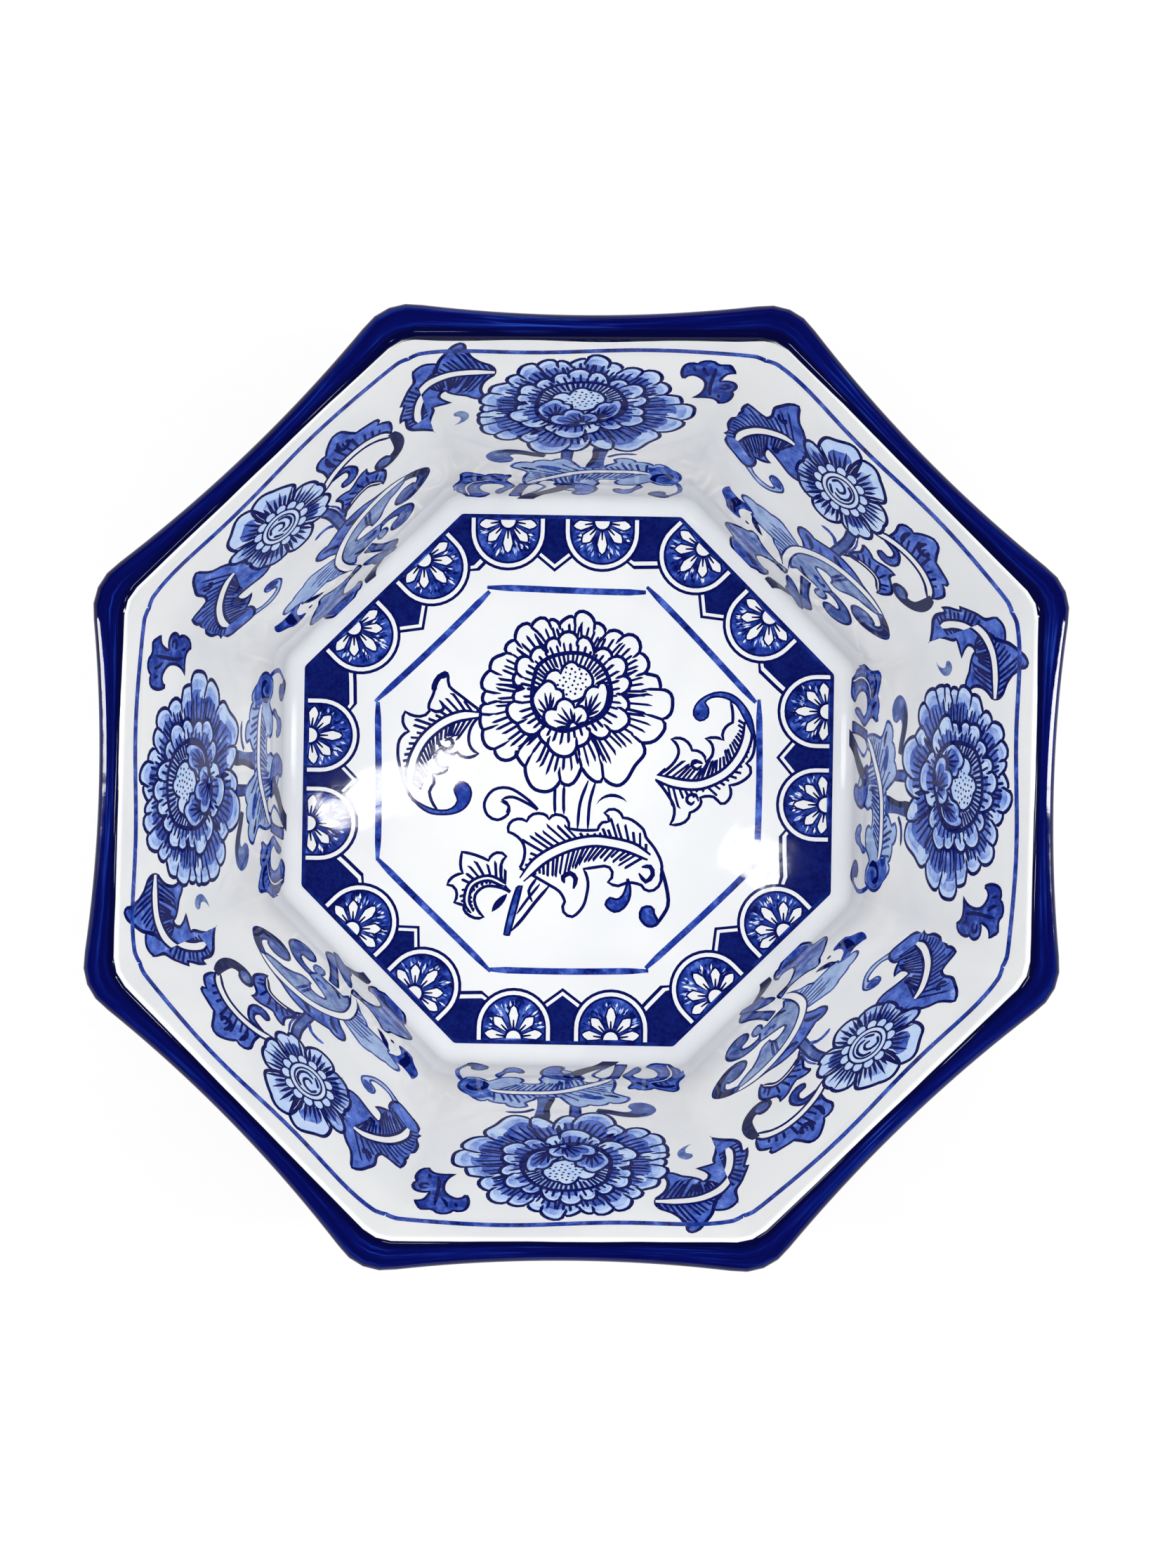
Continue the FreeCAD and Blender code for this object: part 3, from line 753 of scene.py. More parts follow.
def diagonal(sheet):
    """Leaves, stems and curls of the panels between them"""
    # The half of the corner leaf that lies on this side of the corner.
    leaf(sheet, way("59 118!, 56.4 115, 54.4 111.6, 52.8 107, 49.4 104.6, 44.8 100.8!, 45.8 99.2, 43.2 96.4, "
                    "41.6 93!, 43.4 92.4, 42.4 88, 43.1 84, 45 80.2, 47.2 76.2, 48.8 73.7, 50.8 72!, "
                    "49.7 75.4, 49.4 78.6!, 51.6 81, 54 82.6, 60 84!, 62 112!"),
         way("46.6 84.5, 47.2 88.6, 48.8 92.4, 51 95.8, 54 98.8, 58 102"), MID, 0.9, 1.8, (1, -1), INK,
         0.95, 0.5, 2.1, 12.0, 53)
    # Arched stem with its leaf and hooks.
    leaf(sheet, way("12.2 99!, 12.6 104.3, 11.7 108.5, 13.4 111, 16.7 111!, 18.8 113.9, 22.2 116.3, "
                    "25.1 115.2, 26.7 111.8, 28.4 108.5!, 32.2 107.2, 36.3 105.2, 35.5 102.7!, 38 100.2, "
                    "38.8 97.7, 37.4 93!, 33 97, 28.8 99, 23 100.2, 17 100"),
         way("7.5 95.4, 12.2 98.4, 17.2 100, 23 100.4, 28.8 99.1, 33.8 95.8, 36.6 91.5"), MID, 0.5, 2.4,
         (1,), INK, 0.85, -0.2, 1.7, 8.0, 31)
    sheet.stroke(way("22 112, 21 108.5, 22.6 106.4, 25 107.4, 24.6 109.6"), 1.7)
    sheet.stroke(way("16 110, 15.4 106, 16.6 102.5"), 1.6)
    shape(sheet, way("12.6 96.6!, 17.2 97.7, 19.6 96.4, 21.4 92, 20 88.4, 16.7 87.3, 14.1 88.6, 14.6 90.8, "
                     "17.2 90.8, 18.5 92.8, 18 95, 16 96"), DEEP)
    shape(sheet, way("35.8 93!, 38.4 92!, 39.6 87, 38.9 82, 36 78.2, 31.4 76.7, 27.6 77.8, 25.5 80.8, "
                     "26 83.8, 28.9 85, 31.4 83.7, 32.2 81.9, 34.4 83, 35.2 86"), SOOT, None)
    shape(sheet, way("26.8 81.1, 28 83.3, 30.4 82.5, 32 80.1, 29.9 78.5"), SLATE, None)
    # Stem down from the rosette.
    shape(sheet, way("2.2 84!, 3.4 79, 3.5 72, 3.4 65!, 7.2 65!, "
                     "7 72, 7 79, 5.6 85!"), SLATE, (0.9, 0.4, 0.0), 0.9)
    sheet.stroke(way("6.4 86, 8.2 80.6, 8 75, 7.4 72"), 0.8, DEEP)
    sheet.stroke(way("-4.6 74.4, -2 75.3, 1.3 74.7, 3.4 72"), 1.5, DEEP, (0.4, 0.9))
    leaf(sheet, way("9.2 85.2!, 11.7 85.2, 14.7 83.5!, 17.2 84.3, 20 86, 23.4 86.4!, 23 82.7, 25.5 80.2, "
                    "27.6 76.8, 27.2 73.5, 24.7 69.2!, 23.8 72.7, 21.3 75.6, 17.2 76.8, 12.2 75.7, "
                    "8.8 73.4!, 9.2 77.7, 10.5 81"),
         way("8.8 73.6, 12.2 75.8, 17.2 77, 21.3 75.9, 24.3 71"), MID, 0.6, 2.2, (1,), INK, 0.9, -0.4, 0.4,
         7.0, 37)
    sheet.stroke(way("7.6 70.5, 9.4 74, 12.4 75.8"), 1.2)
    # Leaf at the upper left with its long curl.
    shape(sheet, way("-40.7 67!, -37 65.4, -33.2 64, -29.5 63.2, -25.3 65, -22.2 69.3, -21.6 71.8, "
                     "-23.2 74.3, -26.2 75.3, -27.9 73.9, -27.8 71.4, -26.2 70.4, -24.6 69.6, -25.3 67.4, "
                     "-28.7 65.9, -32.8 66, -35.3 68.5!"), MIST, (0.75, 0.3, 0.0), 0.8)
    shape(sheet, way("-27.6 73.6, -26 75, -23.6 74, -22.4 71.6, -24.4 70.4, -26.8 71.4"), DEEP, None)
    leaf(sheet, way("-24 96!, -29.9 105.2, -34.5 108.5, -36.6 111.8, -38.2 114.4, -40.7 111.8, -42 108.5, "
                    "-43.2 104.3, -42 100.2, -42.8 97.2!, -46.2 96, -50.3 95.8!, -50.7 92.7, -49.9 90.2!, "
                    "-51.2 86, -52 81, -52.4 74.3, -51.6 69.3!, -49.5 73.5!, -47.8 70.2, -45.3 66.8, "
                    "-41.2 65.6, -37 65.2, -35 68, -34.9 71.8, -36.2 74.3!, -33.6 76.5, -31.6 79.3!, "
                    "-34.5 79.8, -35.7 82.7, -35.3 84.7!, -32.8 84.7, -28.7 83.9, -24.5 83, -21.2 84!, "
                    "-22.5 90"),
         way("-30.3 98, -33.7 96.9, -37.8 93.5, -41.6 88.5, -44 82.7, -45 77.7, -44.7 73.6"), MID, 0.8, 1.8,
         (1, -1), INK, 0.9, 0.5, 1.9, 12.0, 41)
    sheet.stroke(way("-41 104, -39.6 102, -37.6 102.6, -38 104.6"), 1.5)
    # Long leaf across the middle.
    shape(sheet, way("-2 51.8!, -4.5 56, -7.8 58.5, -9 61.8, -7 64.2, -2.8 63.9!, -0.3 65.2, 3.8 67.2, "
                     "8.8 68.3, 14.7 67.7, 19.7 65.6, 24.7 64.2, 30 62.2!, 22 62, 12 60, 4.7 56"), MID)
    sheet.stroke(way("0.6 63, 2.4 59.5, 4.6 57"), 1.2, DEEP)
    sheet.stroke(way("6 66, 10 63, 17 64"), 2.2, INK)
    sheet.stroke(way("-6 62, -2.5 60, -0.5 56.5"), 1.8, INK)
    shape(sheet, way("-3.5 50.5!, -8.7 52.7, -12 53.9!, -15.3 54.5, -18.7 52.7!, -22 51.8, -24.5 50.2!, "
                     "-28.7 48.9, -29.9 46.4, -28.7 44.3!, -25.3 43.5, -22.8 41.8!, -22 39.3, -16.2 39.3, "
                     "-12 39.3, -10.3 36.8, -7 34.7, -4.5 31, -2.5 29!"), MIST, (0.7, 0.35, 0.0))
    border = spline(way("-3.5 50.5, -22 51.8, -29.9 46.4, -16.2 39.3, -7 34.7, -2.5 29"), True)
    rays(sheet, spline(way("-3.4 50, -5.2 42, -4.4 35, -2 29.5")), border, -1, 0.35, 0.75, 2.1, 1.0, 13.0,
         (0.62, 0.5, 0.0), 0.8, 43)
    shape(sheet, way("-0.8 33.5!, -3.2 40, -2.6 47, 1.5 53.2, 7 58, 14 60.6, 22 61.2, 29 60.6, 32.2 59.2!, "
                     "28 56.8, 23 55.6!, 19.2 52.7, 16.3 49.3, 12.6 48.5!, 11.7 51.8, 8.8 52.2, 5.5 50.2, "
                     "5.5 48!, 8.8 46.4, 12.2 45.2, 15.1 44!, 14.7 41.8, 13.4 38.5!, 15.5 36.8, 15.1 32.7, "
                     "12.2 31.4!, 11.3 33.5, 11.7 36.8!, 8.8 37.2, "
                     "4.7 36, 1.3 36, -0.3 31.8"), (0.34, 0.5, 0.0), (0.8, 0.35, 0.0))
    border = spline(way("5.5 49, 16 50, 30 58, 14 60, 2 50"), True)
    rays(sheet, spline(way("1 50, 6 56.5, 13 60, 22 61.4, 28 60.6")), border, -1, -0.5, 0.9, 2.1, 1.0, 9.0,
         (0.8, 0.4, 0.0), 0.6, 47)
    sheet.stroke(way("9 44, 7.6 42.6, 9.6 41.4, 12 42, 11.4 43.6"), 1.6, DEEP)
    sheet.stroke(way("1.5 40, 3.5 37.6, 7 36.8"), 1.4, SOOT)
    rib = way("-1.6 28.5, -3.7 34.3, -4.5 41.8, -3.7 47.7, -0.3 53.5, 4.7 58.3, 10.5 61.3, 17.2 62.7, "
              "23.8 62.7, 28.8 61.4, 32 60")
    sheet.stroke(rib, 3.7, (0.9, 0.3, 0.0), (0.7, 0.5))
    sheet.stroke(rib, 2.3, BARE, (0.8, 0.4))
    for outline in ("32 60.4!, 36.3 56.8, 39.2 51.8, 38.8 47.7, 35.5 44.3, 30.1 42.2, 25.5 43.9, 23.4 47.7, "
                    "24.7 51, 28.8 52.8, 32.2 51.4, 33 49.3, 34.6 51, 35 53.5, 33.4 56, 30.5 58.5!",
                    "15.1 44!, 19.7 44, 23.8 42.2, 27.2 37.7, 27.6 32.7, 25.5 28.5, 21.7 26.4, 18 27.7, "
                    "16.7 31.4, 18.4 34.7, 21.3 35.6, 21.6 38, 18.8 40.6, 15 40.8!"):
        shape(sheet, way(outline), SLATE, (0.85, 0.6, 0.0), 1.0)
    sheet.stroke(way("33 59, 36.6 54.6, 37.4 49.5, 34 45.6, 29.6 43.6, 26 45.4"), 2.2, SOOT, (0.8, 0.2))
    # Leaf and marks at the left.
    shape(sheet, way("-35.3 43.9!, -33.2 42.7, -29.9 42.2!, -26.2 44.3!, -23.7 41.8, -26.2 38.9, -27 34.3, "
                     "-24.9 31!, -25.3 28.9, -28.7 27.7, -31.2 28.5!, "
                     "-32.8 31.8, -35.7 35.2, -36.3 39.3"), DEEP, None)
    shape(sheet, way("-31 42!, -28 41, -28.6 34, -27 30, -30.4 30, -31.6 35"), INK, None)
    shape(sheet, way("-22.6 40.6!, -20.3 39.7, -17 36, -14.9 33.5!, "
                     "-17 32.9, -20 34.7, -21.6 36.8"), INK, None)
    sheet.area(ring(Vector((-22, 31.8)), 1.0, 8), INK)
    # Lower leaf, stems and arc.
    shape(sheet, way("-18.2 29.7, -14.9 28.5!, -12 26.4, -7.8 25.2, -3.7 25.6!, -0.3 27.7!, 0.2 24!, "
                     "-6.2 21.8, -8.7 19.3, -10.7 16, -11.2 11.8, -8.7 9.3, -6.2 8.5, -4.5 10.2!, -3.7 6.8, "
                     "-4.5 3.5, -7 2.7!, -10 1.2!, -18 1.2!, -21.2 3.4, -21.2 7.7!, -22 9.3, -26.2 11.8, "
                     "-26.6 15.2, -25.3 18.5, -22 23.5, -19.5 26"), (0.4, 0.35, 0.0))
    shape(sheet, way("-26 15.6!, -19 16.6, -12 16!, -11.6 13!, -18 12.4, -25 12.6"), DEEP, None)
    shape(sheet, way("-21 9!, -12 9!, -6.4 8, -4.6 5, -8 2.6, -11 1.4, -18 1.6"), DEEP, None)
    sheet.stroke(way("-14 8, -11 4.5, -8 4"), 2.0)
    sheet.stroke(way("-6 22.6, -3 23.4, 0.4 23"), 2.2, SOOT)
    shape(sheet, way("4.4 33.5!, 8.2 35!, 11.3 24.3, 15.6 16.8, 15.4 13, 14 10.5!, 12 11.4, 8.6 21.8"), SLATE,
          (0.9, 0.5, 0.0))
    shape(sheet, way("1.4 24!, 4.5 22.5, 7.6 19.3, 10.8 14.3, 13.8 8.5, 12.6 6.4!, 8.8 9.3, 4.7 11, 4.2 15, "
                     "2 20.2"), (0.5, 0.6, 0.0), (0.85, 0.4, 0.0))
    shape(sheet, way("-2.8 2!, -2 6, 1.3 8.5, 4.7 10.2, 9 9.6!, 5 6, 3 3.7, 1.6 1.4!"), SOOT, None)


# Stencil of the floor ------------------------------------------------------------------------------
BLOCK = (0.95, 0.0, 0.0)
# Middles of the two half medallions on each side, from the right round by the back.
MEDALLIONS = ((-26.0, 7.5), (-25.7, 8.4), (-22.8, 11.0), (-17.0, 18.0), (-16.9, 14.7), (-16.6, 15.4),
              (-16.8, 18.1), (-18.0, 16.0))


def medallion(sheet, at, jog):
    """Half medallion: petals round a half heart, on mottled blue, ringed in white"""
    top = 7.2

    def bow(size):
        points = [(size, top), (size, 0.0)]
        points += [(size * math.cos(t), -size * math.sin(t))
                   for t in (math.pi * k / 18 for k in range(1, 18))]
        return at(points + [(-size, 0.0), (-size, top)])
    for size, paint in ((14.2, INK), (13.1, BARE), (11.7, INK), (10.9, (0.8, 0.0, 0.0))):
        sheet.area(bow(size), paint)
    for _ in range(64):
        turn, reach = jog.uniform(math.pi * 1.02, math.pi * 1.98), jog.uniform(6, 10.1)
        x, y = reach * math.cos(turn), reach * math.sin(turn) + 1.0
        size, long = jog.uniform(0.25, 0.5), jog.uniform(0.7, 1.6)
        aim = (math.cos(turn), math.sin(turn))
        sheet.area(at([(x + aim[0] * a - aim[1] * b, y + aim[1] * a + aim[0] * b) for a, b in
                       ((-long, 0), (0, size), (long, 0), (0, -size))]),
                   jog.choice((PALE, INK, WASH, BARE, INK, MID, INK)))
    for turn, reach in ((-172, 9.8), (-134, 9.6), (-90, 10.8), (-46, 9.6), (-8, 9.8)):
        aim = (math.cos(math.radians(turn)), math.sin(math.radians(turn)))
        side = (-aim[1], aim[0])

        def spot(along, out):
            return aim[0] * along + side[0] * out, 3.6 + aim[1] * along + side[1] * out
        petal = [(3.0, 0.3), (5.2, 1.0), (8.0, 1.6), (reach - 0.4, 0.9), (reach + 0.5, 0.0),
                 (reach - 0.4, -0.9), (8.0, -1.6), (5.2, -1.0), (3.0, -0.3)]
        wide = [spot(a + (0.6 if a > 8 else 0), o * 1.45) for a, o in petal]
        sheet.area(at(wide), INK)
        sheet.area(at([spot(a, o) for a, o in petal]), BARE)
        sheet.area(at([spot(2.6, 0.5), spot(6.4, 0.25), spot(6.4, -0.25), spot(2.6, -0.5)]), INK)
    half = [(math.cos(t), -math.sin(t)) for t in (math.pi * k / 12 for k in range(13))]
    sheet.area(at([(x * 3.4, y * 3.6 + 4.0) for x, y in half]), INK)
    sheet.area(at([(x * 2.6, y * 2.8 + 4.0) for x, y in half]), BARE)


def border_band(sheet, jog):
    """Band of half medallions and pointed blocks round the floor, with a brushed line inside it"""
    sides = []
    for index in range(SIDES):
        angle = 2 * HALF_TURN * index

        def at(points, c=math.cos(angle), s=math.sin(angle)):
            # Along a side and out from the middle; the first side is at the right.
            return [Vector((y * c + x * s, y * s - x * c)) for x, y in points]
        sides.append(at)
    for index, at in enumerate(sides):
        one, other, after = MEDALLIONS[index] + MEDALLIONS[index - 1][:1]
        beyond = sides[index - 1]
        edge = [(one + 10.5, 79.8), ((one + other) / 2, 74.6), (other - 10.5, 79.8)]
        corner = [(other + 11.5, 76.0), (other + 19.0, 76.2), (other + 26.0, 76.6)]
        for out, paint in ((0.0, INK), (1.3, BARE), (2.7, BLOCK)):
            sheet.area(at([(one, 97), (one, 86)] + [(x, y + out) for x, y in edge]
                          + [(other, 86), (other, 97)]), paint)
            sheet.area(at([(other, 97), (other, 86)] + [(x, y + out) for x, y in corner])
                       + beyond([(after, 86), (after, 97)]) + at([(40.2, 97)]), paint)
    for centres, at in zip(MEDALLIONS, sides):
        for centre in centres:
            medallion(sheet, lambda points: at([(x + centre, y + 89.0) for x, y in points]), jog)
        sheet.area(at([(-41, 93.6), (41, 93.6), (41, 98), (-41, 98)]), (0.92, 0.0, 0.0))
    for number, at in enumerate(sides):
        bend = at([(x, 68.2 + 0.5 * math.cos(x / 18 + number)) for x in range(-30, 30, 3)])
        sheet.brush(bend, 2.0, (0.74, 0.0, 0.0), (0.5, 0.6))


def floor(sheet):
    """The whole stencil of the floor"""
    jog = random.Random(5)
    border_band(sheet, jog)
    leaf(sheet, way("-32.6 25!, -38 29, -43 33, -43.5 36.5, -44.6 38, -47.6 35.6, -48.6 30.4, -50.2 26.5, "
                    "-50 24!, -53.3 22, -58.7 23.6!, -59.5 20, -57.3 16.6!, -60.6 13.5, -61.1 8.3, "
                    "-60.1 3.1, -58.5 -2.5, -55.4 -8!, -49.2 -11.2, -47 -11!, -49.6 -5, -48 -2, -48.6 1.4!, "
                    "-44.5 2.2, -43 4!, -46.6 4.6, -47.5 8, -45.5 10.8!, -42.5 8.6, -39.8 9.4!, -36.7 7.5, "
                    "-32.3 9!, -35.4 12, -35.5 17, -32.8 21.6!"),
         way("-32 22.9, -38.7 22.4, -45 19.8, -51.2 14.6, -54.9 8.3, -56.5 2.1, -56.6 -2"), BARE, 0.48, 2.0,
         (1, -1), INK, 0.85, 0.65, 1.9, 9.0, 51)
    sheet.stroke(way("-43.3 36.8, -46.6 36.4, -48.4 33, -48.2 31"), 1.8)
    sheet.stroke(way("-46.6 28, -45 26, -45.4 24.4, -47.8 23.8, -50 25"), 1.1)
    sheet.stroke(way("-46.8 14.6, -46 11.5, -43 10.4, -41.4 12.6, -42.6 14.2, -44.4 13.4"), 1.2)
    shape(sheet, way("-55.6 -7.4!, -50 -10.6, -45 -11.6, -41.5 -10.8, -39.4 -8, -40.7 -4, -38.8 -1.2, "
                     "-36 -2, -34.5 -5, -35.6 -9, -38.6 -11.8, -43.5 -13, -50 -12.3"), DEEP, INK, 0.6)
    leaf(sheet, way("33.6 3.1!, 38.3 7.3, 39.6 11.5, 37 15.2!, 41.5 15.2, 44.4 11.4!, 48 10.4, 49.4 7.4!, "
                    "51.8 10, 51.6 13.5, 49.2 15.6!, 52.9 16.1, 55.6 15.2!, 55.6 18.7, 58.8 21.6!, 58.8 25, "
                    "58 29!, 62 27, 65 22, 66.8 16.7, 66.4 10.5, 64 7!, 65.6 3.6, 62.4 0.4, 58 -1!, 58.6 -4, "
                    "57.6 -6.4!, 55 -7.6, 52.4 -5.2, 47.6 -5.6!, 47.6 -8.4, 44 -11!, 42.2 -14.4, 37 -15.4!, "
                    "38.4 -9.6, 35.6 -4.2, 31.8 0.4!"),
         way("31.6 1.6, 39.4 -0.6, 47.7 -0.8, 56 3, 61.2 8.8, 64 15.6, 64.2 22"), BARE, 0.45, 2.0, (1, -1),
         INK, 0.85, 0.6, 1.9, 9.0, 53)
    sheet.stroke(way("44.4 6.2, 46.4 7.4, 48.4 6.6"), 1.1)
    sheet.stroke(way("46.6 8, 44.8 7.4, 44.6 5.6, 46.4 4.6, 48 6"), 1.1)
    sheet.stroke(way("45.6 -6.8, 44.4 -8, 42.8 -6.8, 43.4 -4.8, 46 -4.6, 47 -7"), 1.1)
    shape(sheet, way("66.4 16!, 65.2 24, 60 30.6, 54 32.4, 48.6 30.6, 45.4 27.4, 44.8 24, 47 22, 49.8 23.4, "
                     "50 26.6, 48.8 28.6, 51 30.4, 55 30.6, 59.6 28.4, 63 23"), DEEP, INK, 0.6)
    # Stems and the spray below the peony.
    for line in ("-4.5 -1.8, -4.6 -7, -4.4 -12.3", "-1.3 -1.8, -1.4 -7, -1.2 -12.3", "7.4 0, 4.6 -8, "
                                                                                     "3.7 -17.7",
                 "10.1 0, 8 -8, 7.4 -17.7"):
        sheet.stroke(way(line), 1.0)
    shape(sheet, way("10.3 -8.8!, 15 -5.9, 21.5 -7.7!, 15.5 -4.6"), INK, None)
    shape(sheet, way("-10.6 -10.8!, -15 -6.6, -21 -3.2, -26.7 -4, -29.8 -8.6, -28.6 -13, -25 -14.7, "
                     "-21.4 -12.7, -21 -9.8, -23.4 -7.4!, -19.5 -6.4, -14 -8.8"), BARE)
    sheet.stroke(way("-24 -8, -21 -9.6, -22 -12"), 0.8)
    leaf(sheet, way("-16.7 -31.8!, -15 -26.4, -16.3 -22, -21 -18.9!, -19.5 -14.8, -14.5 -15!, -12.2 -12.4, "
                    "-8.5 -12.3, -6.5 -14.1!, -4 -12.4, -0.4 -13.6, 0.7 -17.3!, 5 -17.9, 11 -17.7!, "
                    "12.6 -15, 15 -14.6, 13.4 -11.6!, 16.9 -10.2, 20 -13.2!, 23.3 -14, 27.4 -17.3, 28.3 -20, "
                    "31.5 -24, 34 -29, 34 -33.6!, 31.5 -39, 27 -37.3!, 22 -36.4, 18.7 -37.7, 15 -36.4!, "
                    "16.5 -32.7, 13.6 -30.6!, 6.2 -31.8!, 7.8 -36.4, 7.4 -41, 6 -45.5, 2.4 -49, -0.8 -47.3, "
                    "-0.4 -43.6!, -2.4 -40, -5.6 -38, -10 -35.5"),
         way("-16 -36, -9.5 -29, -0.4 -24, 8.7 -21.8, 16 -22.3, 23.3 -24, 29.6 -27.3"), BARE, 0.55, 2.1,
         (1, -1), INK, 0.85, -0.5, 2.2, 8.0, 57)
    sheet.stroke(way("2.6 -39, 3.4 -35.4, 1.4 -33.4, -1.2 -34.8, -0.6 -37"), 1.6)
    sheet.stroke(way("26 -33, 28.5 -36, 31 -33.5, 30 -30.6, 27 -30.8"), 1.5)
    sheet.stroke(way("34 -31, 36 -38, 36.6 -44.5, 33.3 -50.5"), 1.2, INK, (0.8, 0.8))
    shape(sheet, way("33.4 -50.6!, 29.6 -52, 26.7 -49, 27.4 -45.5, 30.5 -45, 31.6 -47.4!"), DEEP, INK, 0.9)
    shape(sheet, way("22 -35!, 23 -41, 20.8 -45.5, 17.4 -47, 14.2 -44.5, "
                     "15.8 -42, 18 -42.6, 20.4 -41"), DEEP, INK,
          0.8)
    leaf(sheet, way("-20 -40.5!, -23 -36.4, -23.5 -31, -21.7 -27.7!, -25 -26.4, -28 -29.3!, -33 -27.3, "
                    "-37.5 -26.4!, -38 -31, -37.2 -34!, -41 -35.6, -42.6 -38.2!, -39.5 -40, -40 -44.5!, "
                    "-36.7 -45.5!, -35.8 -48.2, -32.6 -50, -29.5 -49.6!, -32.4 -45.5, -32.6 -41.8, "
                    "-29.5 -38.8, -25 -38.6"),
         way("-22 -38, -28 -35.6, -34 -38, -35.6 -44, -33.5 -48"), BARE, 0.55, 2.0, (1, -1), INK, 0.85, 0.5,
         0.6, 5.0, 59)
    shape(sheet, way("-26.6 -47.8!, -25.2 -43.8, -21 -41!, -22.8 -45"), INK, None)
    shape(sheet, way("-17.6 -38.6!, -15.8 -38.2!, -17.6 -46, "
                     "-20.2 -56!, -22 -55.8!, -19.9 -46"), DEEP, INK, 0.7)
    sheet.stroke(way("-5.8 -37.7, -11 -44, -16 -50.6, -19.5 -54.5"), 1.1)
    sheet.stroke(way("-9.4 -37.4, -14 -43.2, -17.6 -48.4"), 0.9)
    sheet.stroke(way("-10.4 -35, -13.4 -40, -12 -44"), 1.0)
    peony(sheet, (1.0, 1.0), (0.0, 0.0), None, 61)


# Marks lower than this on a panel with a peony are drawn in by this share, so that they end by
# themselves above the joint with the floor, where a strip stays bare.
LOW_MARKS = 30
LOW_DRAW = 0.86
JOINT_STRIP = ((-60, -5), (60, -5), (60, 1), (-60, 1))


def cardinal_wall(sheet):
    """The whole stencil of a panel with a peony"""
    first = len(sheet.spots)
    cardinal(sheet)
    for spot in sheet.spots[first:]:
        spot.y = max(spot.y, LOW_MARKS - (LOW_MARKS - spot.y) * LOW_DRAW)
    sheet.area(JOINT_STRIP, BARE)
    peony(sheet, (1.015, 1.04), (-1.4, 58.2), WALL_WASHES, 71)


def diagonal_wall(sheet):
    """The whole stencil of a panel with a round flower"""
    diagonal(sheet)
    sheet.area(JOINT_STRIP, BARE)
    rosette(sheet)


PAINTED = {"cardinal": cardinal_wall, "diagonal": diagonal_wall, "floor": floor}


# Meshes --------------------------------------------------------------------------------------------
class Mesh:
    """Corners, faces and paints of one piece as they are gathered"""

    def __init__(self):
        self.places, self.facing, self.faces, self.paints, self.spread = [], [], [], [], []
        self.count = 0

    def add(self, places, facing, spread=None):
        """Corners with their directions and their places on the sheet; gives their numbers"""
        first = self.count
        self.places.append(np.asarray(places))
        self.facing.append(np.asarray(facing))
        self.spread.append(np.zeros((len(places), 2)) if spread is None else np.asarray(spread))
        self.count += len(places)
        return list(range(first, self.count))

    def face(self, corners, paint=BARE):
        """A face with one paint, or a list with one for each of its corners"""
        if len(set(corners)) > 2:
            self.faces.append(corners)
            self.paints.append(paint if isinstance(paint, list) else [paint] * len(corners))

    def sheet_of(self, rows):
        """Bare quads between rows of equal count"""
        for low, high in zip(rows, rows[1:]):
            for i in range(len(low) - 1):
                self.face((low[i], low[i + 1], high[i + 1], high[i]))

    def finish(self, name, material):
        """The piece's object: corners that lie together are joined, and each keeps its own direction"""
        places = np.concatenate(self.places)
        spread = np.concatenate(self.spread)
        _, first, joined = np.unique(np.round(places / 0.004 + 0.37).astype(np.int64), axis=0,
                                     return_index=True, return_inverse=True)
        joined = joined.ravel()
        corners = [frozenset(joined[list(face)].tolist()) for face in self.faces]
        doubled = collections.Counter(corners)
        faces, paints, sources = [], [], []
        for face, paint, around in zip(self.faces, self.paints, corners):
            kept = [i for i, c in enumerate(face) if joined[c] != joined[face[i - 1]]]
            # Slivers that fold flat onto a neighbour when their corners join are left out.
            if len(kept) > 2 and len(around) == len(kept) and doubled[around] == 1:
                faces.append(tuple(int(joined[face[i]]) for i in kept))
                paints += [paint[i] + (1.0,) for i in kept]
                sources += [face[i] for i in kept]
        mesh = bpy.data.meshes.new(name)
        mesh.from_pydata((places[first] * MM).tolist(), [], faces)
        paint = mesh.color_attributes.new("paint", "FLOAT_COLOR", "CORNER")
        paint.data.foreach_set("color", np.array(paints).ravel())
        chart = mesh.uv_layers.new(name="Sheet")
        chart.data.foreach_set("uv", spread[sources].ravel())
        mesh.shade_smooth()
        mesh.normals_split_custom_set_from_vertices(np.concatenate(self.facing)[first].tolist())
        mesh.materials.append(material)
        return placed_object(name, mesh)


def placed_object(name, data):
    """An object at the origin, linked to the scene"""
    thing = bpy.data.objects.new(name, data)
    bpy.context.scene.collection.objects.link(thing)
    return thing


def lay(form, flat, angle):
    """Inside of a wall: places and directions of flat corners u along a side, v up it"""
    places, facing = [], []
    for u, v in flat:
        half, z, ease, slope = form.inside(v)
        share = u / straight_side(half, ease)[1]
        x, y, turn, way = side_point(half, ease, 0.0, max(-1.0, min(1.0, share)))
        spin = angle + way * turn
        places.append((x, y, z))
        facing.append((-math.sin(slope) * math.cos(spin), -math.sin(slope) * math.sin(spin), math.cos(slope)))
    return form.placed(np.array(places), angle), np.array(facing)


# Way up the wall to the thin line below the lip, its width, and how far the lip's glaze runs down at the
# back.
RIM_LINE = 120.2
RIM_LINE_WIDTH = 2.1
RIM_EDGE = 0.6
# Shares of a side's half at which its level rows have corners.
SHARES = [i / 12 for i in range(-12, 13)]
# Steps round a rounding, up a wall and across the top of the lip.
ROUND_STEPS = 4
WALL_STEPS = 14
TOP_STEPS = 5


